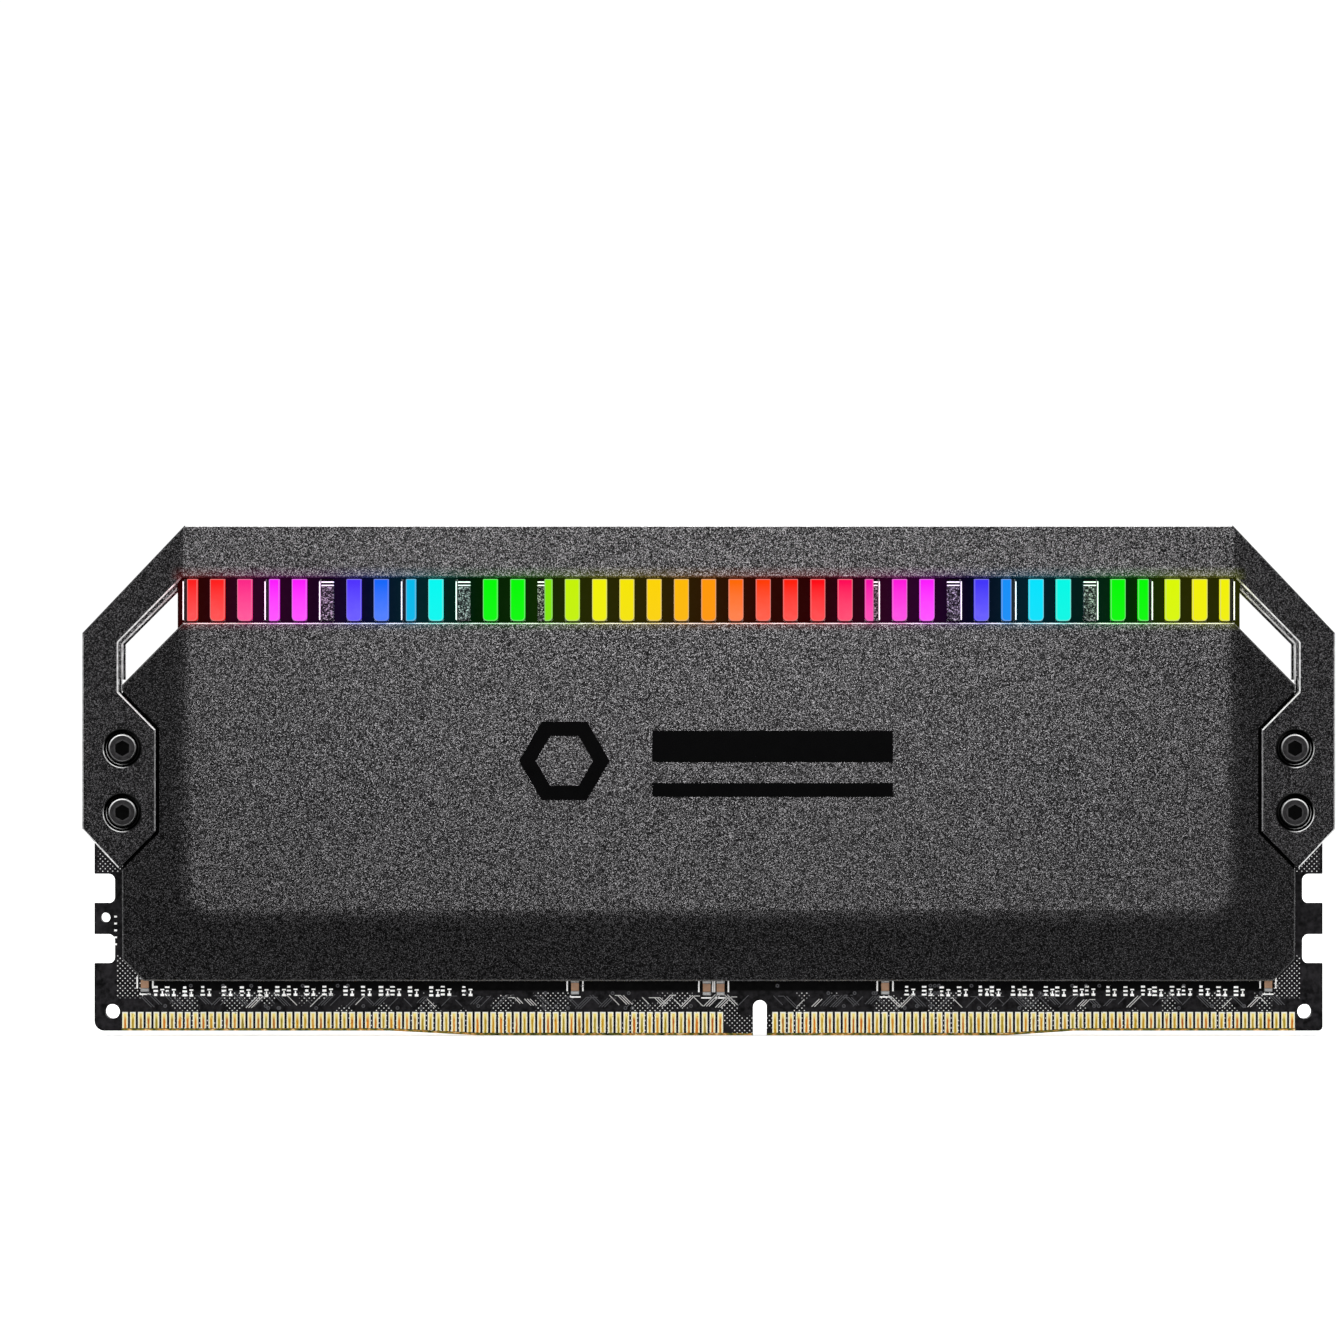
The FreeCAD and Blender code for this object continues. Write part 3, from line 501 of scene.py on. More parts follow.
def frame_rim(g, inward, up):
    """Painted highlights: chamfers facing up and inwards or down and outwards are brightest; counterbores
    have thin painted highlight crescents.
    """
    slant = g.math("ADD", inward, up)
    edges = g.level(g.math("ABSOLUTE", slant), 0.08, 0.95, 0.45, 0.95)
    opening = g.product(g.rise(g.math("SUBTRACT", inward, up), 0.55, 0.65), at_openings(g))
    underside = g.product(g.fall(up, -0.6, -0.4), g.rise(g.axis("Z"), *BAR_UNDERSIDE))
    edges = g.product(g.math("MAXIMUM", edges, opening), g.math("SUBTRACT", 1.0, underside))
    reach = screw_reach(g)
    lines = g.math("MAXIMUM", g.band(reach, *OUTER_CRESCENT), g.band(reach, *INNER_CRESCENT))
    crescent_highlight = g.product(lines, g.level(slant, 0.06, 1.0, 0.25, 0.8))
    near = g.fall(reach, *COUNTERBORE_END)
    return g.math("ADD", g.product(near, crescent_highlight), g.product(g.math("SUBTRACT", 1.0, near), edges))


def frame_opening_walls(g, inward, up, frontal):
    """Painted light on the machined walls of the two corner openings, where they face inwards and down, on
    both sides of their groove.
    """
    sideways = g.fall(frontal, 0.1, 0.2)
    towards = g.rise(g.math("SUBTRACT", inward, up), 0.5, 0.6)
    land = g.level(g.away("Y"), 0.0, 0.55, *GROOVE_SIDE)
    return g.product(sideways, towards, at_openings(g), land)


def spreader_rim(g, inward, up):
    """Painted highlights: the long top edge, where it faces up, is a thin bright line; the other chamfers
    only get a little painted highlight.
    """
    line = g.product(g.rise(g.axis("Z"), *TOP_LINE), g.rise(up, 0.55, 0.66))
    return g.math("MAXIMUM", line, 0.2)


def gold_plate():
    """Plated fingers: pale at the top and along the edges, with a streak of its own tone down each middle."""
    g = Graph("gold_plate")
    first = CONTACT_LOW.x + CONTACT_WIDTH / 2 - CONTACT_PITCH / 2
    count = g.math("DIVIDE", g.math("SUBTRACT", g.axis("X"), first), CONTACT_PITCH)
    across = g.math("ABSOLUTE", g.math("SUBTRACT", g.math("FRACT", count), 0.5))
    white = g.node("ShaderNodeTexWhiteNoise", noise_dimensions="1D")
    g.link(g.math("FLOOR", count), white.inputs["W"])
    own = g.ramp(white.outputs["Value"], [(0.0, (0.34, 0.26, 0.01)), (0.3, (0.62, 0.34, 0.01)),
                                          (0.55, (0.72, 0.20, 0.01)), (0.8, (0.50, 0.11, 0.006)),
                                          (1.0, (0.30, 0.28, 0.03))])
    ragged = g.noise(2200, 3.0, 0.6, g.stretched((1.0, 1.0, 0.4)))
    wander = g.math("ADD", across, g.vary(ragged, -0.05, 0.05))
    body = g.mix(g.fall(wander, 0.13, 0.22), (1.0, 0.93, 0.58), (0.98, 0.80, 0.22))
    height = g.axis("Z")
    streak = g.product(g.fall(wander, 0.08, 0.16), g.fall(height, 1.7 * MM, 2.2 * MM))
    rim = g.math("MAXIMUM", g.rise(across, 0.25, 0.30), g.rise(height, 2.35 * MM, 2.45 * MM))
    tone = g.mix(rim, g.mix(streak, body, own), (1.0, 0.98, 0.85))
    g.shader(tone, g.vary(ragged, 0.26, 0.36), 0.55, g.bump(ragged, 0.1, 0.01 * MM))
    return g.material


def bare_metal(name, colour, roughness):
    """Turned or plated metal with fine streaks and bright rubbed edges."""
    g = Graph(name)
    streak = g.noise(1500, 4.0, 0.6, g.stretched((1.0, 6.0, 1.0)))
    base = g.mix(g.vary(streak), tuple(c * 0.75 for c in colour), colour)
    wear = g.product(g.edge_mask(0.08 * MM), g.level(g.noise(300, 2.0), 0.2, 0.9, 0.35, 0.65))
    tone = g.mix(wear, base, tuple(min(1.0, c * 3 + 0.08) for c in colour))
    g.shader(tone, g.vary(streak, roughness - 0.05, roughness + 0.07), 1.0, g.bump(streak, 0.12, 0.01 * MM))
    return g.material


def black_screws():
    """Black oxide heads: a bright rim that is a painted highlight, strongest where it faces up; a dull face;
    and a recess darkened by painted shade.
    """
    g = Graph("black_oxide")
    depth = g.away("Y")
    reach = screw_reach(g)
    fine = g.noise(2600)
    face = g.mix(g.vary(fine), (0.030, 0.029, 0.030), (0.085, 0.082, 0.085))
    sunk = (SCREW_FRONT - 0.03 * MM, SCREW_FRONT - 0.01 * MM)
    # Painted shade: all that lies below the head's face, the hex recess among it, is near black
    tone = g.mix(g.fall(depth, *sunk), face, (0.006, 0.006, 0.006))
    lip = g.product(g.fall(reach, 0.92 * MM, 0.96 * MM), g.rise(depth, *sunk), 0.5)
    tone = g.mix(lip, tone, (0.13, 0.127, 0.13))
    # Painted highlight: the outer ring of the head, brightest where it faces up
    ring = g.product(g.rise(reach, 1.33 * MM, 1.37 * MM),
                     g.rise(depth, SCREW_FRONT - 0.13 * MM, SCREW_FRONT - 0.12 * MM),
                     g.level(g.facing()["Z"], 0.12, 1.0, -0.25, 0.45))
    tone = g.mix(g.product(ring, g.level(fine, 0.8, 1.0, 0.35, 0.6)), tone, (1.0, 1.0, 1.0))
    made = g.shader(tone, g.vary(fine, 0.32, 0.46), 1.0, g.bump(fine, 0.12, 0.01 * MM))
    g.link(g.level(ring, 1.0, 0.35), made.inputs["Metallic"])
    return g.material


# ---------- board ----------

HATCH_PITCH = 0.54 * MM
# Soft limits of the hatched copper, heights and distances from the board's middle:
# patches above the contacts, the lower corners and the shoulders
PATCH_TOP = (4.7 * MM, 4.8 * MM)
PATCH_END = (61.0 * MM, 61.2 * MM)
CORNER_SPAN = (61.2 * MM, 61.4 * MM, 64.2 * MM, 64.3 * MM)
CORNER_HEIGHT = (4.0 * MM, 4.2 * MM, 8.6 * MM, 8.8 * MM)
SHOULDER_FOOT = (17.6 * MM, 17.7 * MM)
SHOULDER_END = (66.2 * MM, 66.3 * MM)
# Where the spreader's lower edge gets a painted shadow on the board, and the top of the bevel below the
# contacts
SHADED_FOOT = (4.75 * MM, 4.95 * MM)
SHADED_END = (61.3 * MM, 61.6 * MM)
BEVEL_TOP = (0.9 * MM, 1.0 * MM)


def hatched_copper(g):
    """1 on the small openings of the mask, on a diagonal lattice and only in places; 0 elsewhere."""
    x, z, far = g.axis("X"), g.axis("Z"), g.away("X")
    waves = []
    for turn in (1.0, -1.0):
        run = g.math("ADD", x, g.product(z, turn))
        wave = g.math("SINE", g.product(run, 2 * math.pi / HATCH_PITCH))
        waves.append(g.math("MAXIMUM", wave, 0.0))
    dots = g.rise(g.product(*waves), 0.35, 0.8)
    patches = g.product(g.fall(z, *PATCH_TOP), g.fall(far, *PATCH_END), g.rise(g.noise(330, 0.0), 0.53, 0.57))
    corners = g.product(g.band(far, *CORNER_SPAN), g.band(z, *CORNER_HEIGHT))
    shoulders = g.product(g.rise(z, *SHOULDER_FOOT), g.fall(far, *SHOULDER_END))
    return g.product(dots, g.math("MAXIMUM", patches, g.math("MAXIMUM", corners, shoulders)))


def solder_mask():
    """Black mask with hatched copper and a painted shadow below the spreader's lower edge; bare laminate on
    the bevel below the contacts.
    """
    g = Graph("board_mask")
    z, far = g.axis("Z"), g.away("X")
    copper = hatched_copper(g)
    fine = g.noise(1900)
    base = g.mix(g.rise(fine, 0.35, 0.68), (0.0015, 0.0015, 0.0018), (0.016, 0.015, 0.017))
    base = g.mix(g.level(g.noise(420, 2.0), 0.0, 0.4, 0.45, 0.7), base, (0.020, 0.018, 0.021))
    # Painted shadow of the spreader's lower edge on the board
    spreader_painted_shadow = g.product(g.rise(z, *SHADED_FOOT), g.fall(far, *SHADED_END))
    base = g.mix(spreader_painted_shadow, base, (0.0008, 0.0008, 0.0008))
    masked = g.mix(copper, base, (0.78, 0.78, 0.78))
    bevel = g.product(g.fall(g.facing()["Z"], -0.6, -0.3), g.fall(z, *BEVEL_TOP),
                      g.fall(far, CONTACT_HIGH.x, CONTACT_HIGH.x + 0.1 * MM))
    glass = g.ramp(g.noise(1500, 2.0), [(0.3, (0.010, 0.014, 0.003)), (0.48, (0.14, 0.14, 0.02)),
                                        (0.6, (0.50, 0.24, 0.05)), (0.75, (0.70, 0.70, 0.40))])
    height = g.math("ADD", copper, g.product(fine, 0.6))
    g.shader(g.mix(bevel, masked, glass), g.vary(fine, 0.38, 0.55), 0.0, g.bump(height, 0.35, 0.015 * MM),
             Specular_IOR_Level=0.08)
    return g.material


def ink(name, colour, roughness, specular=0.4):
    """Printed ink: nearly flat, with a slightly uneven film."""
    g = Graph(name)
    film = g.noise(700)
    tone = g.mix(g.vary(film), colour, tuple(min(1.0, c * 1.3 + 0.0008) for c in colour))
    g.shader(tone, g.vary(film, roughness - 0.05, roughness + 0.08), 0.0, g.bump(film, 0.12, 0.01 * MM),
             Specular_IOR_Level=specular)
    return g.material


# ---------- plastics ----------

DEEP_HAZE = 0.056
CLEAR_HAZE = 0.004
DEEP_GREEN_LIMIT = 0.2


def moulded_plastic(name, colour, roughness, specular=0.5):
    """Fine-textured moulded surface with a little colour drift."""
    g = Graph(name)
    fine = g.noise(1800)
    lighter = tuple(min(1.0, c * 1.6 + 0.004) for c in colour)
    base = g.mix(g.level(fine, 0.0, 0.6, 0.3, 0.75), colour, lighter)
    tone = g.mix(g.level(g.noise(120, 2.0), 0.0, 0.25, 0.35, 0.7), base, lighter)
    g.shader(tone, g.vary(fine, roughness - 0.06, roughness + 0.06), 0.0, g.bump(fine, 0.2, 0.01 * MM),
             Specular_IOR_Level=specular)
    return g.material


def silicone():
    """Grey thermal pad with a woven imprint."""
    g = Graph("silicone_pad")
    fine = g.noise(800)
    tone = g.mix(fine, (0.22, 0.25, 0.28), (0.34, 0.37, 0.40))
    weave = g.cells(1600)[1]
    g.shader(tone, g.level(fine, 0.7, 0.85), 0.0, g.bump(weave, 0.4, 0.03 * MM))
    return g.material


def clear_acrylic(name, colour):
    """Core of the light guide: greyish, slightly frosted, with painted highlights on its moulded edges."""
    g = Graph(name)
    fine = g.noise(1300)
    base = g.mix(g.rise(fine, 0.35, 0.65), colour, tuple(c * 1.7 + 0.02 for c in colour))
    # Painted highlight along every edge
    tone = g.mix(g.edge_mask(0.1 * MM), base, (0.85, 0.87, 0.9))
    g.shader(tone, g.vary(fine, 0.18, 0.33), 0.0, g.bump(fine, 0.15, 0.01 * MM), Coat_Weight=0.4)
    return g.material


def dark_acrylic():
    """Window that is switched off: speckled dark, with a painted shadow along its top and two painted
    highlight lines in it.
    """
    g = Graph("window_acrylic")
    base = g.ramp(g.cells(9000)[0], [(0.0, (0.001, 0.001, 0.002)), (0.5, (0.010, 0.009, 0.011)),
                                     (0.8, (0.10, 0.094, 0.105)), (1.0, (0.36, 0.34, 0.37))])
    below_top = g.math("SUBTRACT", WINDOW_TOP, g.axis("Z"))
    # Painted shadow of the bar along the window's top
    base = g.mix(g.fall(below_top, 0.74 * MM, 0.78 * MM), base, (0.002, 0.002, 0.002))
    # Two painted highlight lines in that shadow
    upper = g.band(below_top, 0.26 * MM, 0.28 * MM, 0.40 * MM, 0.42 * MM)
    lower = g.band(below_top, 0.63 * MM, 0.65 * MM, 0.73 * MM, 0.75 * MM)
    tone = g.mix(g.math("MAXIMUM", upper, lower), base, (0.90, 0.90, 0.92))
    fine = g.noise(1300)
    g.shader(tone, g.vary(fine, 0.3, 0.45), 0.0, g.bump(fine, 0.15, 0.01 * MM), Specular_IOR_Level=0.05)
    return g.material


def lit_acrylic(name, colour, strength):
    """Lit guide plastic: an even glow of one colour; the deep colours have a milky haze towards the foot."""
    g = Graph(name)
    fine = g.noise(1500, 2.0)
    milk = DEEP_HAZE if colour[1] < DEEP_GREEN_LIMIT else CLEAR_HAZE
    lower = g.fall(g.axis("Z"), WINDOW_BOTTOM + 0.6 * MM, WINDOW_TOP - 0.4 * MM)
    haze = g.product(lower, g.vary(fine, 0.8, 1.0))
    tone = g.mix(haze, tuple(c * 0.01 for c in colour), (milk, milk, milk))
    made = g.shader(tone, g.vary(fine, 0.3, 0.45), Specular_IOR_Level=0.02)
    made.inputs["Emission Color"].default_value = (*colour, 1.0)
    made.inputs["Emission Strength"].default_value = strength
    return g.material


def comb_plastic():
    """Black plastic between the windows, with a faint painted glow in the colour of its lit neighbours."""
    g = Graph("comb_plastic")
    fine = g.noise(1800)
    tone = g.mix(g.vary(fine), (0.0008, 0.0008, 0.0008), (0.002, 0.002, 0.002))
    made = g.shader(tone, g.vary(fine, 0.55, 0.7), 0.0, g.bump(fine, 0.2, 0.01 * MM), Specular_IOR_Level=0.01)
    # Painted light: a faint emission in the colours of the nearby windows
    g.link(strip_tint(g), made.inputs["Emission Color"])
    made.inputs["Emission Strength"].default_value = 0.022
    return g.material


# ---------- pieces ----------

FOOT_RADIUS = 0.46 * MM
RIM_BEVEL = 0.09 * MM
SHARP_ANGLE = math.radians(40)
TINY = 1e-7


def new_piece(name, mesh, materials, slot):
    piece = bpy.data.objects.new(name, mesh)
    bpy.context.scene.collection.objects.link(piece)
    for material in materials:
        mesh.materials.append(material)
    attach(piece, BODY)
    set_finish(piece, slot)
    return piece


def edges_of(faces):
    """Each edge of the faces once, in a fixed order."""
    return list(dict.fromkeys(edge for face in faces for edge in face.edges))


def bevel_edges(bm, edges, size, segments=2, material=-1):
    """The bevel's faces take the material of their neighbours, or the one asked for."""
    bmesh.ops.bevel(bm, geom=edges, offset=size, segments=segments, profile=0.5, affect="EDGES",
                    material=material)


def add_block(bm, low, high, bevel=0.0, material=0):
    """Block between two corners, bevelled all round if a bevel is given."""
    start = set(bm.faces)
    made = bmesh.ops.create_cube(bm, size=1.0)
    size = Vector(high) - Vector(low)
    middle = (Vector(high) + Vector(low)) / 2
    bmesh.ops.scale(bm, vec=size, verts=made["verts"])
    bmesh.ops.translate(bm, vec=middle, verts=made["verts"])
    block = [face for face in bm.faces if face not in start]
    for face in block:
        face.material_index = material
    if bevel > 0:
        bevel_edges(bm, edges_of(block), bevel)


def add_tooth(bm, low, high, round_left, round_right, material, edge_material):
    """Block of the light guide with a rounded foot on the sides asked for and bevelled rims."""
    start = set(bm.faces)
    add_block(bm, low, high, 0.0, material)
    foot = []
    for edge in edges_of(face for face in bm.faces if face not in start):
        one, other = edge.verts
        along_foot = max(one.co.z, other.co.z) < low[2] + TINY and abs(one.co.x - other.co.x) < TINY
        on_left = one.co.x < (low[0] + high[0]) / 2
        if along_foot and (round_left if on_left else round_right):
            foot.append(edge)
    if foot:
        bevel_edges(bm, foot, FOOT_RADIUS, 4)
    edges = edges_of(face for face in bm.faces if face not in start)
    sharp = [edge for edge in edges if edge.calc_face_angle(0.0) > SHARP_ANGLE]
    bevel_edges(bm, sharp, RIM_BEVEL, 2, edge_material)


def add_prism(bm, corners, y_front, y_back, material=0):
    """Solid from an X-Z outline (counter-clockwise seen from the front) between two Y planes."""
    front = [bm.verts.new((x, y_front, z)) for x, z in corners]
    back = [bm.verts.new((x, y_back, z)) for x, z in corners]
    faces = [bm.faces.new(front), bm.faces.new(list(reversed(back)))]
    count = len(corners)
    for i in range(count):
        j = (i + 1) % count
        faces.append(bm.faces.new((front[j], front[i], back[i], back[j])))
    for face in faces:
        face.material_index = material


def finish_mesh(name, bm, smooth=False):
    bmesh.ops.recalc_face_normals(bm, faces=bm.faces)
    mesh = bpy.data.meshes.new(name)
    bm.to_mesh(mesh)
    bm.free()
    if smooth:
        mesh.shade_smooth()
    return mesh


def add_mirrored(piece, name):
    """The same piece on the back of the module."""
    mesh = piece.data.copy()
    mesh.transform(Matrix.Scale(-1, 4, (0, 1, 0)))
    mesh.flip_normals()
    mesh.name = name
    twin = bpy.data.objects.new(name, mesh)
    bpy.context.scene.collection.objects.link(twin)
    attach(twin, BODY)
    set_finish(twin, piece["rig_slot"])


# ---------- light strip ----------

CORE_DEPTH = 1.95 * MM
CORE_BEVEL = 0.1 * MM
# The painted highlight line beside a dark part: width, gap, bevel, and how far it stays from the foot and the
# top
LINE_WIDTH = 0.14 * MM
LINE_GAP = 0.09 * MM
LINE_BEVEL = 0.03 * MM
LINE_ABOVE_FOOT = 0.1 * MM
LINE_BELOW_TOP = 0.25 * MM
# A lit window's rim is paler and dimmer than its face
RIM_WHITE = 0.2
RIM_STRENGTH = 0.8
# Area lights stand in front of the strip, each for a few windows
GLOW_SPAN = 3
GLOW_STANDOFF = 5.2 * MM
GLOW_RADIANCE = 0.9
# Materials of a window's piece: the last two are only there if it is lit
SPECKLED, LINE, DIM, LIT, LIT_RIM = range(5)


def window_x(index):
    return (index - (WINDOW_COUNT - 1) / 2) * WINDOW_PITCH


def colour_name(colour):
    return "window_" + "_".join(str(round(c * 100)) for c in colour)


def lit_materials():
    made = {}
    for colour in RAINBOW:
        if colour and colour not in made:
            name = colour_name(colour)
            pale = tuple(c * (1 - RIM_WHITE) + RIM_WHITE for c in colour)
            made[colour] = (lit_acrylic(name, colour, 1.0), lit_acrylic(name + "_rim", pale, RIM_STRENGTH))
    return made


def add_dark_part(bm, left, right, line_side, round_left, round_right, material):
    """Unlit part of a window, with a painted highlight line and a narrow gap on line_side (-1, 1 or 0 for
    none).
    """
    inset = LINE_WIDTH + LINE_GAP
    if line_side != 0:
        line_left = left if line_side < 0 else right - LINE_WIDTH
        low = (line_left, GUIDE_LOW.y, WINDOW_BOTTOM + LINE_ABOVE_FOOT)
        high = (line_left + LINE_WIDTH, -CORE_DEPTH, WINDOW_TOP - LINE_BELOW_TOP)
        add_block(bm, low, high, LINE_BEVEL, LINE)
    low = (left + (inset if line_side < 0 else 0.0), GUIDE_LOW.y, WINDOW_BOTTOM)
    high = (right - (inset if line_side > 0 else 0.0), -CORE_DEPTH, WINDOW_TOP)
    add_tooth(bm, low, high, round_left, round_right, material, material)


def build_windows(clear, speckled, highlight_line, dim):
    """Core of the light guide and its bevelled blocks, some of them dark or lit over a part of the width."""
    lit = lit_materials()
    bm = bmesh.new()
    low = (GUIDE_LOW.x, -CORE_DEPTH, GUIDE_LOW.z)
    add_block(bm, low, (GUIDE_HIGH.x, CORE_DEPTH, GUIDE_HIGH.z), CORE_BEVEL)
    core = new_piece("guide_core", finish_mesh("guide_core", bm), [clear], "clear_guide")
    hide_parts("light_guide")
    for index, colour in enumerate(RAINBOW):
        left = window_x(index) - WINDOW_WIDTH / 2
        right = left + WINDOW_WIDTH
        on_left = index < WINDOW_COUNT / 2
        share = PARTLY_LIT.get(index, (0.0, 1.0)) if colour else (0.0, 0.0)
        lit_left = left + share[0] * WINDOW_WIDTH
        lit_right = left + share[1] * WINDOW_WIDTH
        bm = bmesh.new()
        fill = SPECKLED if index in SPECKLED_PARTS else DIM
        if not colour:
            add_dark_part(bm, left, right, -1 if on_left else 1, not on_left, on_left, SPECKLED)
        elif index == UNLINED_PART:
            add_dark_part(bm, left, lit_left, 0, True, False, fill)
        elif share[0] > 0.0:
            add_dark_part(bm, left, lit_left, -1, False, False, fill)
        elif share[1] < 1.0:
            add_dark_part(bm, lit_right, right, 1, False, False, fill)
        materials = [speckled, highlight_line, dim]
        if colour:
            materials += lit[colour]
            low = (lit_left, GUIDE_LOW.y, WINDOW_BOTTOM)
            high = (lit_right, -CORE_DEPTH, WINDOW_TOP)
            add_tooth(bm, low, high, share[0] == 0.0, share[1] == 1.0, LIT, LIT_RIM)
        number = f"{index + 1:02d}"
        piece = new_piece("front_window_" + number, finish_mesh("window", bm), materials, "clear_guide")
        add_mirrored(piece, "rear_window_" + number)


def add_glow():
    """Soft coloured light that the strip throws on the metal beside it."""
    for first in range(0, WINDOW_COUNT, GLOW_SPAN):
        lit = [colour for colour in RAINBOW[first:first + GLOW_SPAN] if colour]
        if not lit:
            continue
        mean = [sum(colour[i] for colour in lit) / len(lit) for i in range(3)]
        x = window_x(first + (GLOW_SPAN - 1) / 2)
        z = (WINDOW_BOTTOM + WINDOW_TOP) / 2
        for side in (-1, 1):
            y = side * GLOW_STANDOFF
            size = (GLOW_SPAN * WINDOW_PITCH, WINDOW_TOP - WINDOW_BOTTOM)
            watts = GLOW_RADIANCE * math.pi * size[0] * size[1]
            add_area_light("strip_glow", (x, y, z), (x, 0, z), size, watts, mean)


# ---------- prints and small parts on the board ----------

PRINT_LIFT = 0.014 * MM
KEY_X = 5.575 * MM
# Centres (x, z) in mm of the capacitors that stand beside the contacts on the front
EDGE_CAPACITORS = ((-61.16, 5.6), (-14.49, 5.3), (-0.2, 5.2), (1.3, 5.2), (19.16, 5.3), (60.72, 5.6))
# Length, width, thickness and tinned length in mm of those capacitors and of the ones around the chips
EDGE_CAPACITOR = (1.7, 0.9, 0.5, 0.42)
CHIP_CAPACITOR = (1.6, 0.8, 0.6, 0.38)
CAPACITOR_BEVEL = 0.07 * MM
CAPACITOR_SINK = 0.025 * MM
CAPACITOR_TRIM = 0.03
# Stretches (from, to) along X in mm that carry screen print, and the rows of dashes in them
PRINT_STRETCHES = ((-60.0, -25.0), (21.5, 57.5))
PRINT_TOP = 5.25 * MM
PRINT_ROW_GAP = 0.42 * MM
PRINT_COLUMN_GAP = 0.72 * MM
# Vias: heights above the board's edge, and the section of each mound as (radius in mm, lift in prints)
VIA_COUNT = 70
VIA_REACH = 62.0
VIA_STEPS = 14
VIA_ROWS = (2.98, 3.2, 4.6, 5.4)
VIA_SECTION = ((0.21, -0.5), (0.21, 0.7), (0.17, 1.2), (0.12, 1.0), (0.08, 0.4), (0.08, -0.5))
# Traces, in mm: where they run, where they are all bare, and the gap between neighbours
TRACE_START, TRACE_END = -61.0, 61.5
BARE_START, BARE_END = -8.0, 2.5
TRACE_GAP = 0.3
TRACE_WIDTH = 0.085 * MM
TRACE_LEAN = math.radians(45)
# Emblem: middle and radii of the hexagon ring, and the two bars as (x, z, width, height)
EMBLEM_LIFT = 0.03 * MM
HEXAGON_X = -15.6 * MM
HEXAGON_Z = 29.85 * MM
HEXAGON_RADII = (4.9 * MM, 3.1 * MM)
EMBLEM_BARS = ((6.9 * MM, 31.4 * MM, 26.0 * MM, 3.4 * MM), (6.9 * MM, 26.7 * MM, 26.0 * MM, 1.5 * MM))


def flat_print(bm, corners, side, lift=PRINT_LIFT, material=0, face=BOARD_FACE):
    """Thin closed print on the front (-1) or back (+1) face, the board's or another, from an X-Z outline."""
    base = face * side
    add_prism(bm, corners, base + side * lift, base - side * 0.5 * lift, material)


def bar(x, z, width, height, turn=0.0):
    """Corners of a small rectangle centred on x, z and turned by an angle."""
    c, s = math.cos(turn), math.sin(turn)
    a, b = width / 2, height / 2
    return [(x + u * c - v * s, z + u * s + v * c) for u, v in ((-a, -b), (a, -b), (a, b), (-a, b))]


def clear_of_key(x, margin=1.7 * MM):
    return abs(x - KEY_X) > margin


def build_screen_print(side, ink_white):
    """Generic white marks beside the parts under the spreader's lower edge: short dashes and dots."""
    rng = random.Random(31 + side)
    bm = bmesh.new()
    for start, end in PRINT_STRETCHES:
        x = start * MM
        while x < end * MM:
            top = PRINT_TOP + rng.uniform(-0.05, 0.05) * MM
            for row in range(3):
                width = rng.choice((0.34, 0.44, 0.5)) * MM
                flat_print(bm, bar(x, top - row * PRINT_ROW_GAP, width, rng.uniform(0.16, 0.26) * MM), side)
            for drop, width, height in ((0.28, 0.42, 0.15), (0.86, 0.4, 0.26), (0.58, 0.14, 0.3)):
                mark = bar(x + PRINT_COLUMN_GAP, top - drop * MM, width * MM, height * MM)
                flat_print(bm, mark, side)
            x += rng.choice((1.25, 1.9, 1.95, 2.3)) * MM
    for x, z in EDGE_CAPACITORS:
        x = x * MM * -side
        for edge in (-0.85, 0.85):
            flat_print(bm, bar(x + edge * MM, z * MM + 0.15 * MM, 0.16 * MM, 1.3 * MM), side)
        flat_print(bm, bar(x, z * MM - 1.12 * MM, 1.2 * MM, 0.14 * MM), side)
    for step in range(5):
        flat_print(bm, bar(-64.35 * MM * -side, (9.9 + 0.75 * step) * MM, 0.3 * MM, 0.2 * MM), side)
    name = "front_screen_print" if side < 0 else "rear_screen_print"
    new_piece(name, finish_mesh(name, bm), [ink_white], "board")


def build_traces(side, pale, dim):
    """Diagonal copper runs under the mask, one to three side by side, between contacts and spreader."""
    rng = random.Random(57 + side)
    bm = bmesh.new()
    x = TRACE_START
    while x < TRACE_END:
        lean = rng.choice((-1, 1))
        count = rng.choice((1, 2, 3))
        reach = rng.uniform(0.9, 1.9)
        z = rng.uniform(3.5, 3.9)
        shade = 0 if BARE_START < x < BARE_END or rng.random() < 0.16 else 1
        for i in range(count):
            here = (x + i * TRACE_GAP) * MM
            if clear_of_key(here):
                run = bar(here, z * MM, reach * MM, TRACE_WIDTH, lean * TRACE_LEAN)
                flat_print(bm, run, side, PRINT_LIFT, shade)
                if rng.random() < 0.35 and clear_of_key(here, 2.4 * MM):
                    shift = reach / 2 * math.cos(TRACE_LEAN)
                    tail_x = here + lean * (shift + 0.3) * MM
                    tail = bar(tail_x, (z + shift) * MM, 0.62 * MM, TRACE_WIDTH)
                    flat_print(bm, tail, side, PRINT_LIFT * 0.9, shade)
        x += rng.uniform(0.75, 1.7)
    name = "front_traces" if side < 0 else "rear_traces"
    new_piece(name, finish_mesh(name, bm), [pale, dim], "board")


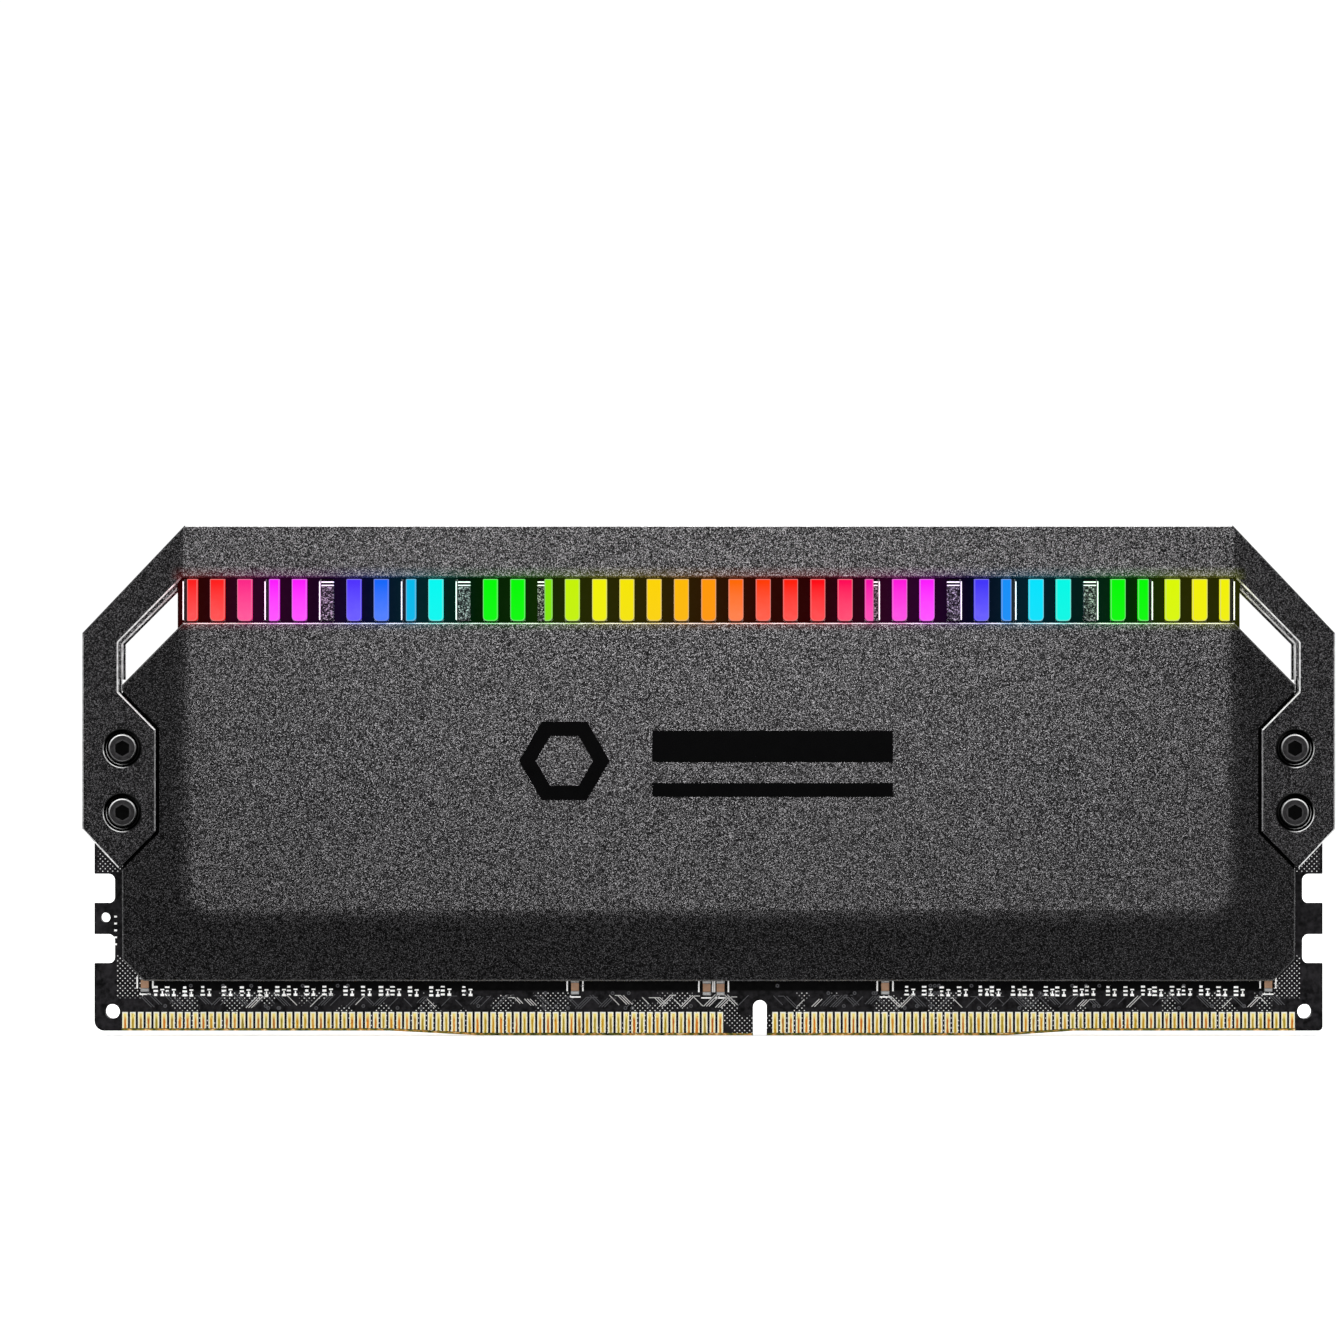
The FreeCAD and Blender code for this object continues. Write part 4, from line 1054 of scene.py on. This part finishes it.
def build_vias(side, ring):
    """Tented through holes as low ring-shaped mounds."""
    rng = random.Random(83 + side)
    bm = bmesh.new()
    for _ in range(VIA_COUNT):
        x = rng.uniform(-VIA_REACH, VIA_REACH) * MM
        z = rng.choice(VIA_ROWS) * MM
        if not clear_of_key(x):
            continue
        base = side * BOARD_FACE
        rings = []
        for radius, lift in VIA_SECTION:
            loop = []
            for i in range(VIA_STEPS):
                angle = 2 * math.pi * i / VIA_STEPS
                point = (x + radius * MM * math.cos(angle), base + side * lift * PRINT_LIFT,
                         z + radius * MM * math.sin(angle))
                loop.append(bm.verts.new(point))
            rings.append(loop)
        for first, second in zip(rings, rings[1:] + rings[:1]):
            for i in range(VIA_STEPS):
                j = (i + 1) % VIA_STEPS
                bm.faces.new((first[i], first[j], second[j], second[i]))
    name = "front_vias" if side < 0 else "rear_vias"
    new_piece(name, finish_mesh(name, bm, True), [ring], "board")


def chip_capacitor_places():
    """Centres of the capacitors around the memory chips, as in the frame's node."""
    places = []
    for turn in (-1, 1):
        for i in range(4):
            x = turn * (10.4 + i * 13.6)
            places += [(x + dx, 19.6 + dz) for dx in (-2.2, 2.2) for dz in (-7.4, 7.4)]
    return places


def build_capacitors(side, brown, tin):
    """Ceramic bodies, each between two bevelled tinned ends."""
    bm = bmesh.new()
    for upright, places, size in ((True, EDGE_CAPACITORS, EDGE_CAPACITOR),
                                  (False, chip_capacitor_places(), CHIP_CAPACITOR)):
        length, width, thick, tinned = size
        base = side * BOARD_FACE
        face = side * (BOARD_FACE + thick * MM)
        end = length / 2
        sunk = face - side * CAPACITOR_SINK
        # Each block: from and to along the length, half its width, its face, bevel and material
        blocks = ((tinned - end, end - tinned, width / 2 - CAPACITOR_TRIM, sunk, 0.0, 0),
                  (-end, tinned - end, width / 2, face, CAPACITOR_BEVEL, 1),
                  (end - tinned, end, width / 2, face, CAPACITOR_BEVEL, 1))
        for x, z in places:
            x *= -side if upright else 1
            for first, last, half, outside, bevel, material in blocks:
                near, far = sorted((base, outside))
                low, high = ((x - half, z + first), (x + half, z + last))
                if not upright:
                    low, high = ((x + first, z - half), (x + last, z + half))
                low = (low[0] * MM, near, low[1] * MM)
                high = (high[0] * MM, far, high[1] * MM)
                add_block(bm, low, high, bevel, material)
    name = "front_capacitor_set" if side < 0 else "rear_capacitor_set"
    piece = new_piece(name, finish_mesh(name, bm), [brown, tin], "capacitor_ceramic")
    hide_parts("front_capacitors" if side < 0 else "rear_capacitors")


def build_emblem(side, black):
    """Plain glossy print in the middle of the field: a hexagon ring and two bars."""
    bm = bmesh.new()

    def corner(reach, i):
        angle = math.radians(60 * i)
        return (HEXAGON_X + reach * math.cos(angle), HEXAGON_Z + reach * math.sin(angle))

    outer, inner = HEXAGON_RADII
    for i in range(6):
        corners = [corner(outer, i), corner(outer, i + 1), corner(inner, i + 1), corner(inner, i)]
        flat_print(bm, corners, side, EMBLEM_LIFT, face=-FIELD_FACE)
    # Join the six pieces into one ring, without the walls between them
    bmesh.ops.remove_doubles(bm, verts=bm.verts, dist=0.001 * MM)
    walls = [face for face in bm.faces if all(len(edge.link_faces) > 2 for edge in face.edges)]
    bmesh.ops.delete(bm, geom=walls, context="FACES_ONLY")
    for place in EMBLEM_BARS:
        flat_print(bm, bar(*place), side, EMBLEM_LIFT, face=-FIELD_FACE)
    name = "front_emblem" if side < 0 else "rear_emblem"
    new_piece(name, finish_mesh(name, bm), [black], "spreader_metal")


def cad_looks():
    """Material of each frame node that stays in view."""
    spreader = blasted_metal("spreader_metal", spreader_rim, ear_shade, 0.305, 0.73)
    top = blasted_metal("frame_metal", frame_rim, counterbore_shade, 0.36, 1.04, frame_opening_walls)
    looks = {
        "circuit_board": solder_mask(),
        "front_contacts": gold_plate(),
        "front_heat_spreader": spreader,
        "rear_heat_spreader": spreader,
        "top_frame": top,
        "front_window_comb": comb_plastic(),
        "light_guide": clear_acrylic("guide_acrylic", (0.20, 0.20, 0.21)),
        "front_screws": black_screws(),
        "threaded_spacers": bare_metal("plated_steel", (0.5, 0.5, 0.5), 0.3),
        "front_memory_chips": moulded_plastic("chip_epoxy", (0.02, 0.02, 0.022), 0.5),
        "front_leds": moulded_plastic("led_resin", (0.8, 0.8, 0.72), 0.3),
        "front_capacitors": moulded_plastic("capacitor_body", (0.24, 0.13, 0.07), 0.35),
        "front_resistor_arrays": moulded_plastic("black_glaze", (0.03, 0.03, 0.035), 0.3),
        "front_thermal_pad": silicone(),
    }
    for chip in ("spd_chip", "led_controller_chip", "led_driver_chip"):
        looks[chip] = looks["front_memory_chips"]
    for name in NODES:
        if name.startswith("rear_"):
            looks.setdefault(name, looks["front_" + name[len("rear_"):]])
    return looks


def main():
    bpy.context.scene.view_settings.view_transform = "Standard"
    add_world()
    add_lights()
    add_glow()
    add_floor()
    add_camera()
    looks = cad_looks()
    for name, node in NODES.items():
        for slot in node.material_slots:
            slot.material = looks[name]
    # Painted highlight: pale plastic for the line beside each dark window part
    highlight_line = moulded_plastic("window_painted_highlight", (0.75, 0.75, 0.78), 0.3)
    dim_acrylic = moulded_plastic("window_dim", (0.004, 0.004, 0.005), 0.3, specular=0.1)
    build_windows(looks["light_guide"], dark_acrylic(), highlight_line, dim_acrylic)
    ink_white = ink("screen_ink", (0.80, 0.80, 0.78), 0.55)
    ink_black = ink("gloss_ink", (0.0006, 0.0006, 0.0007), 0.25, specular=0.02)
    pale = ink("bare_trace", (0.42, 0.42, 0.41), 0.4)
    dim = ink("masked_trace", (0.045, 0.045, 0.05), 0.35)
    tin = bare_metal("tinned_end", (0.75, 0.75, 0.74), 0.35)
    for side in (-1, 1):
        build_screen_print(side, ink_white)
        build_traces(side, pale, dim)
        build_vias(side, dim)
        build_capacitors(side, looks["front_capacitors"], tin)
        build_emblem(side, ink_black)


main()
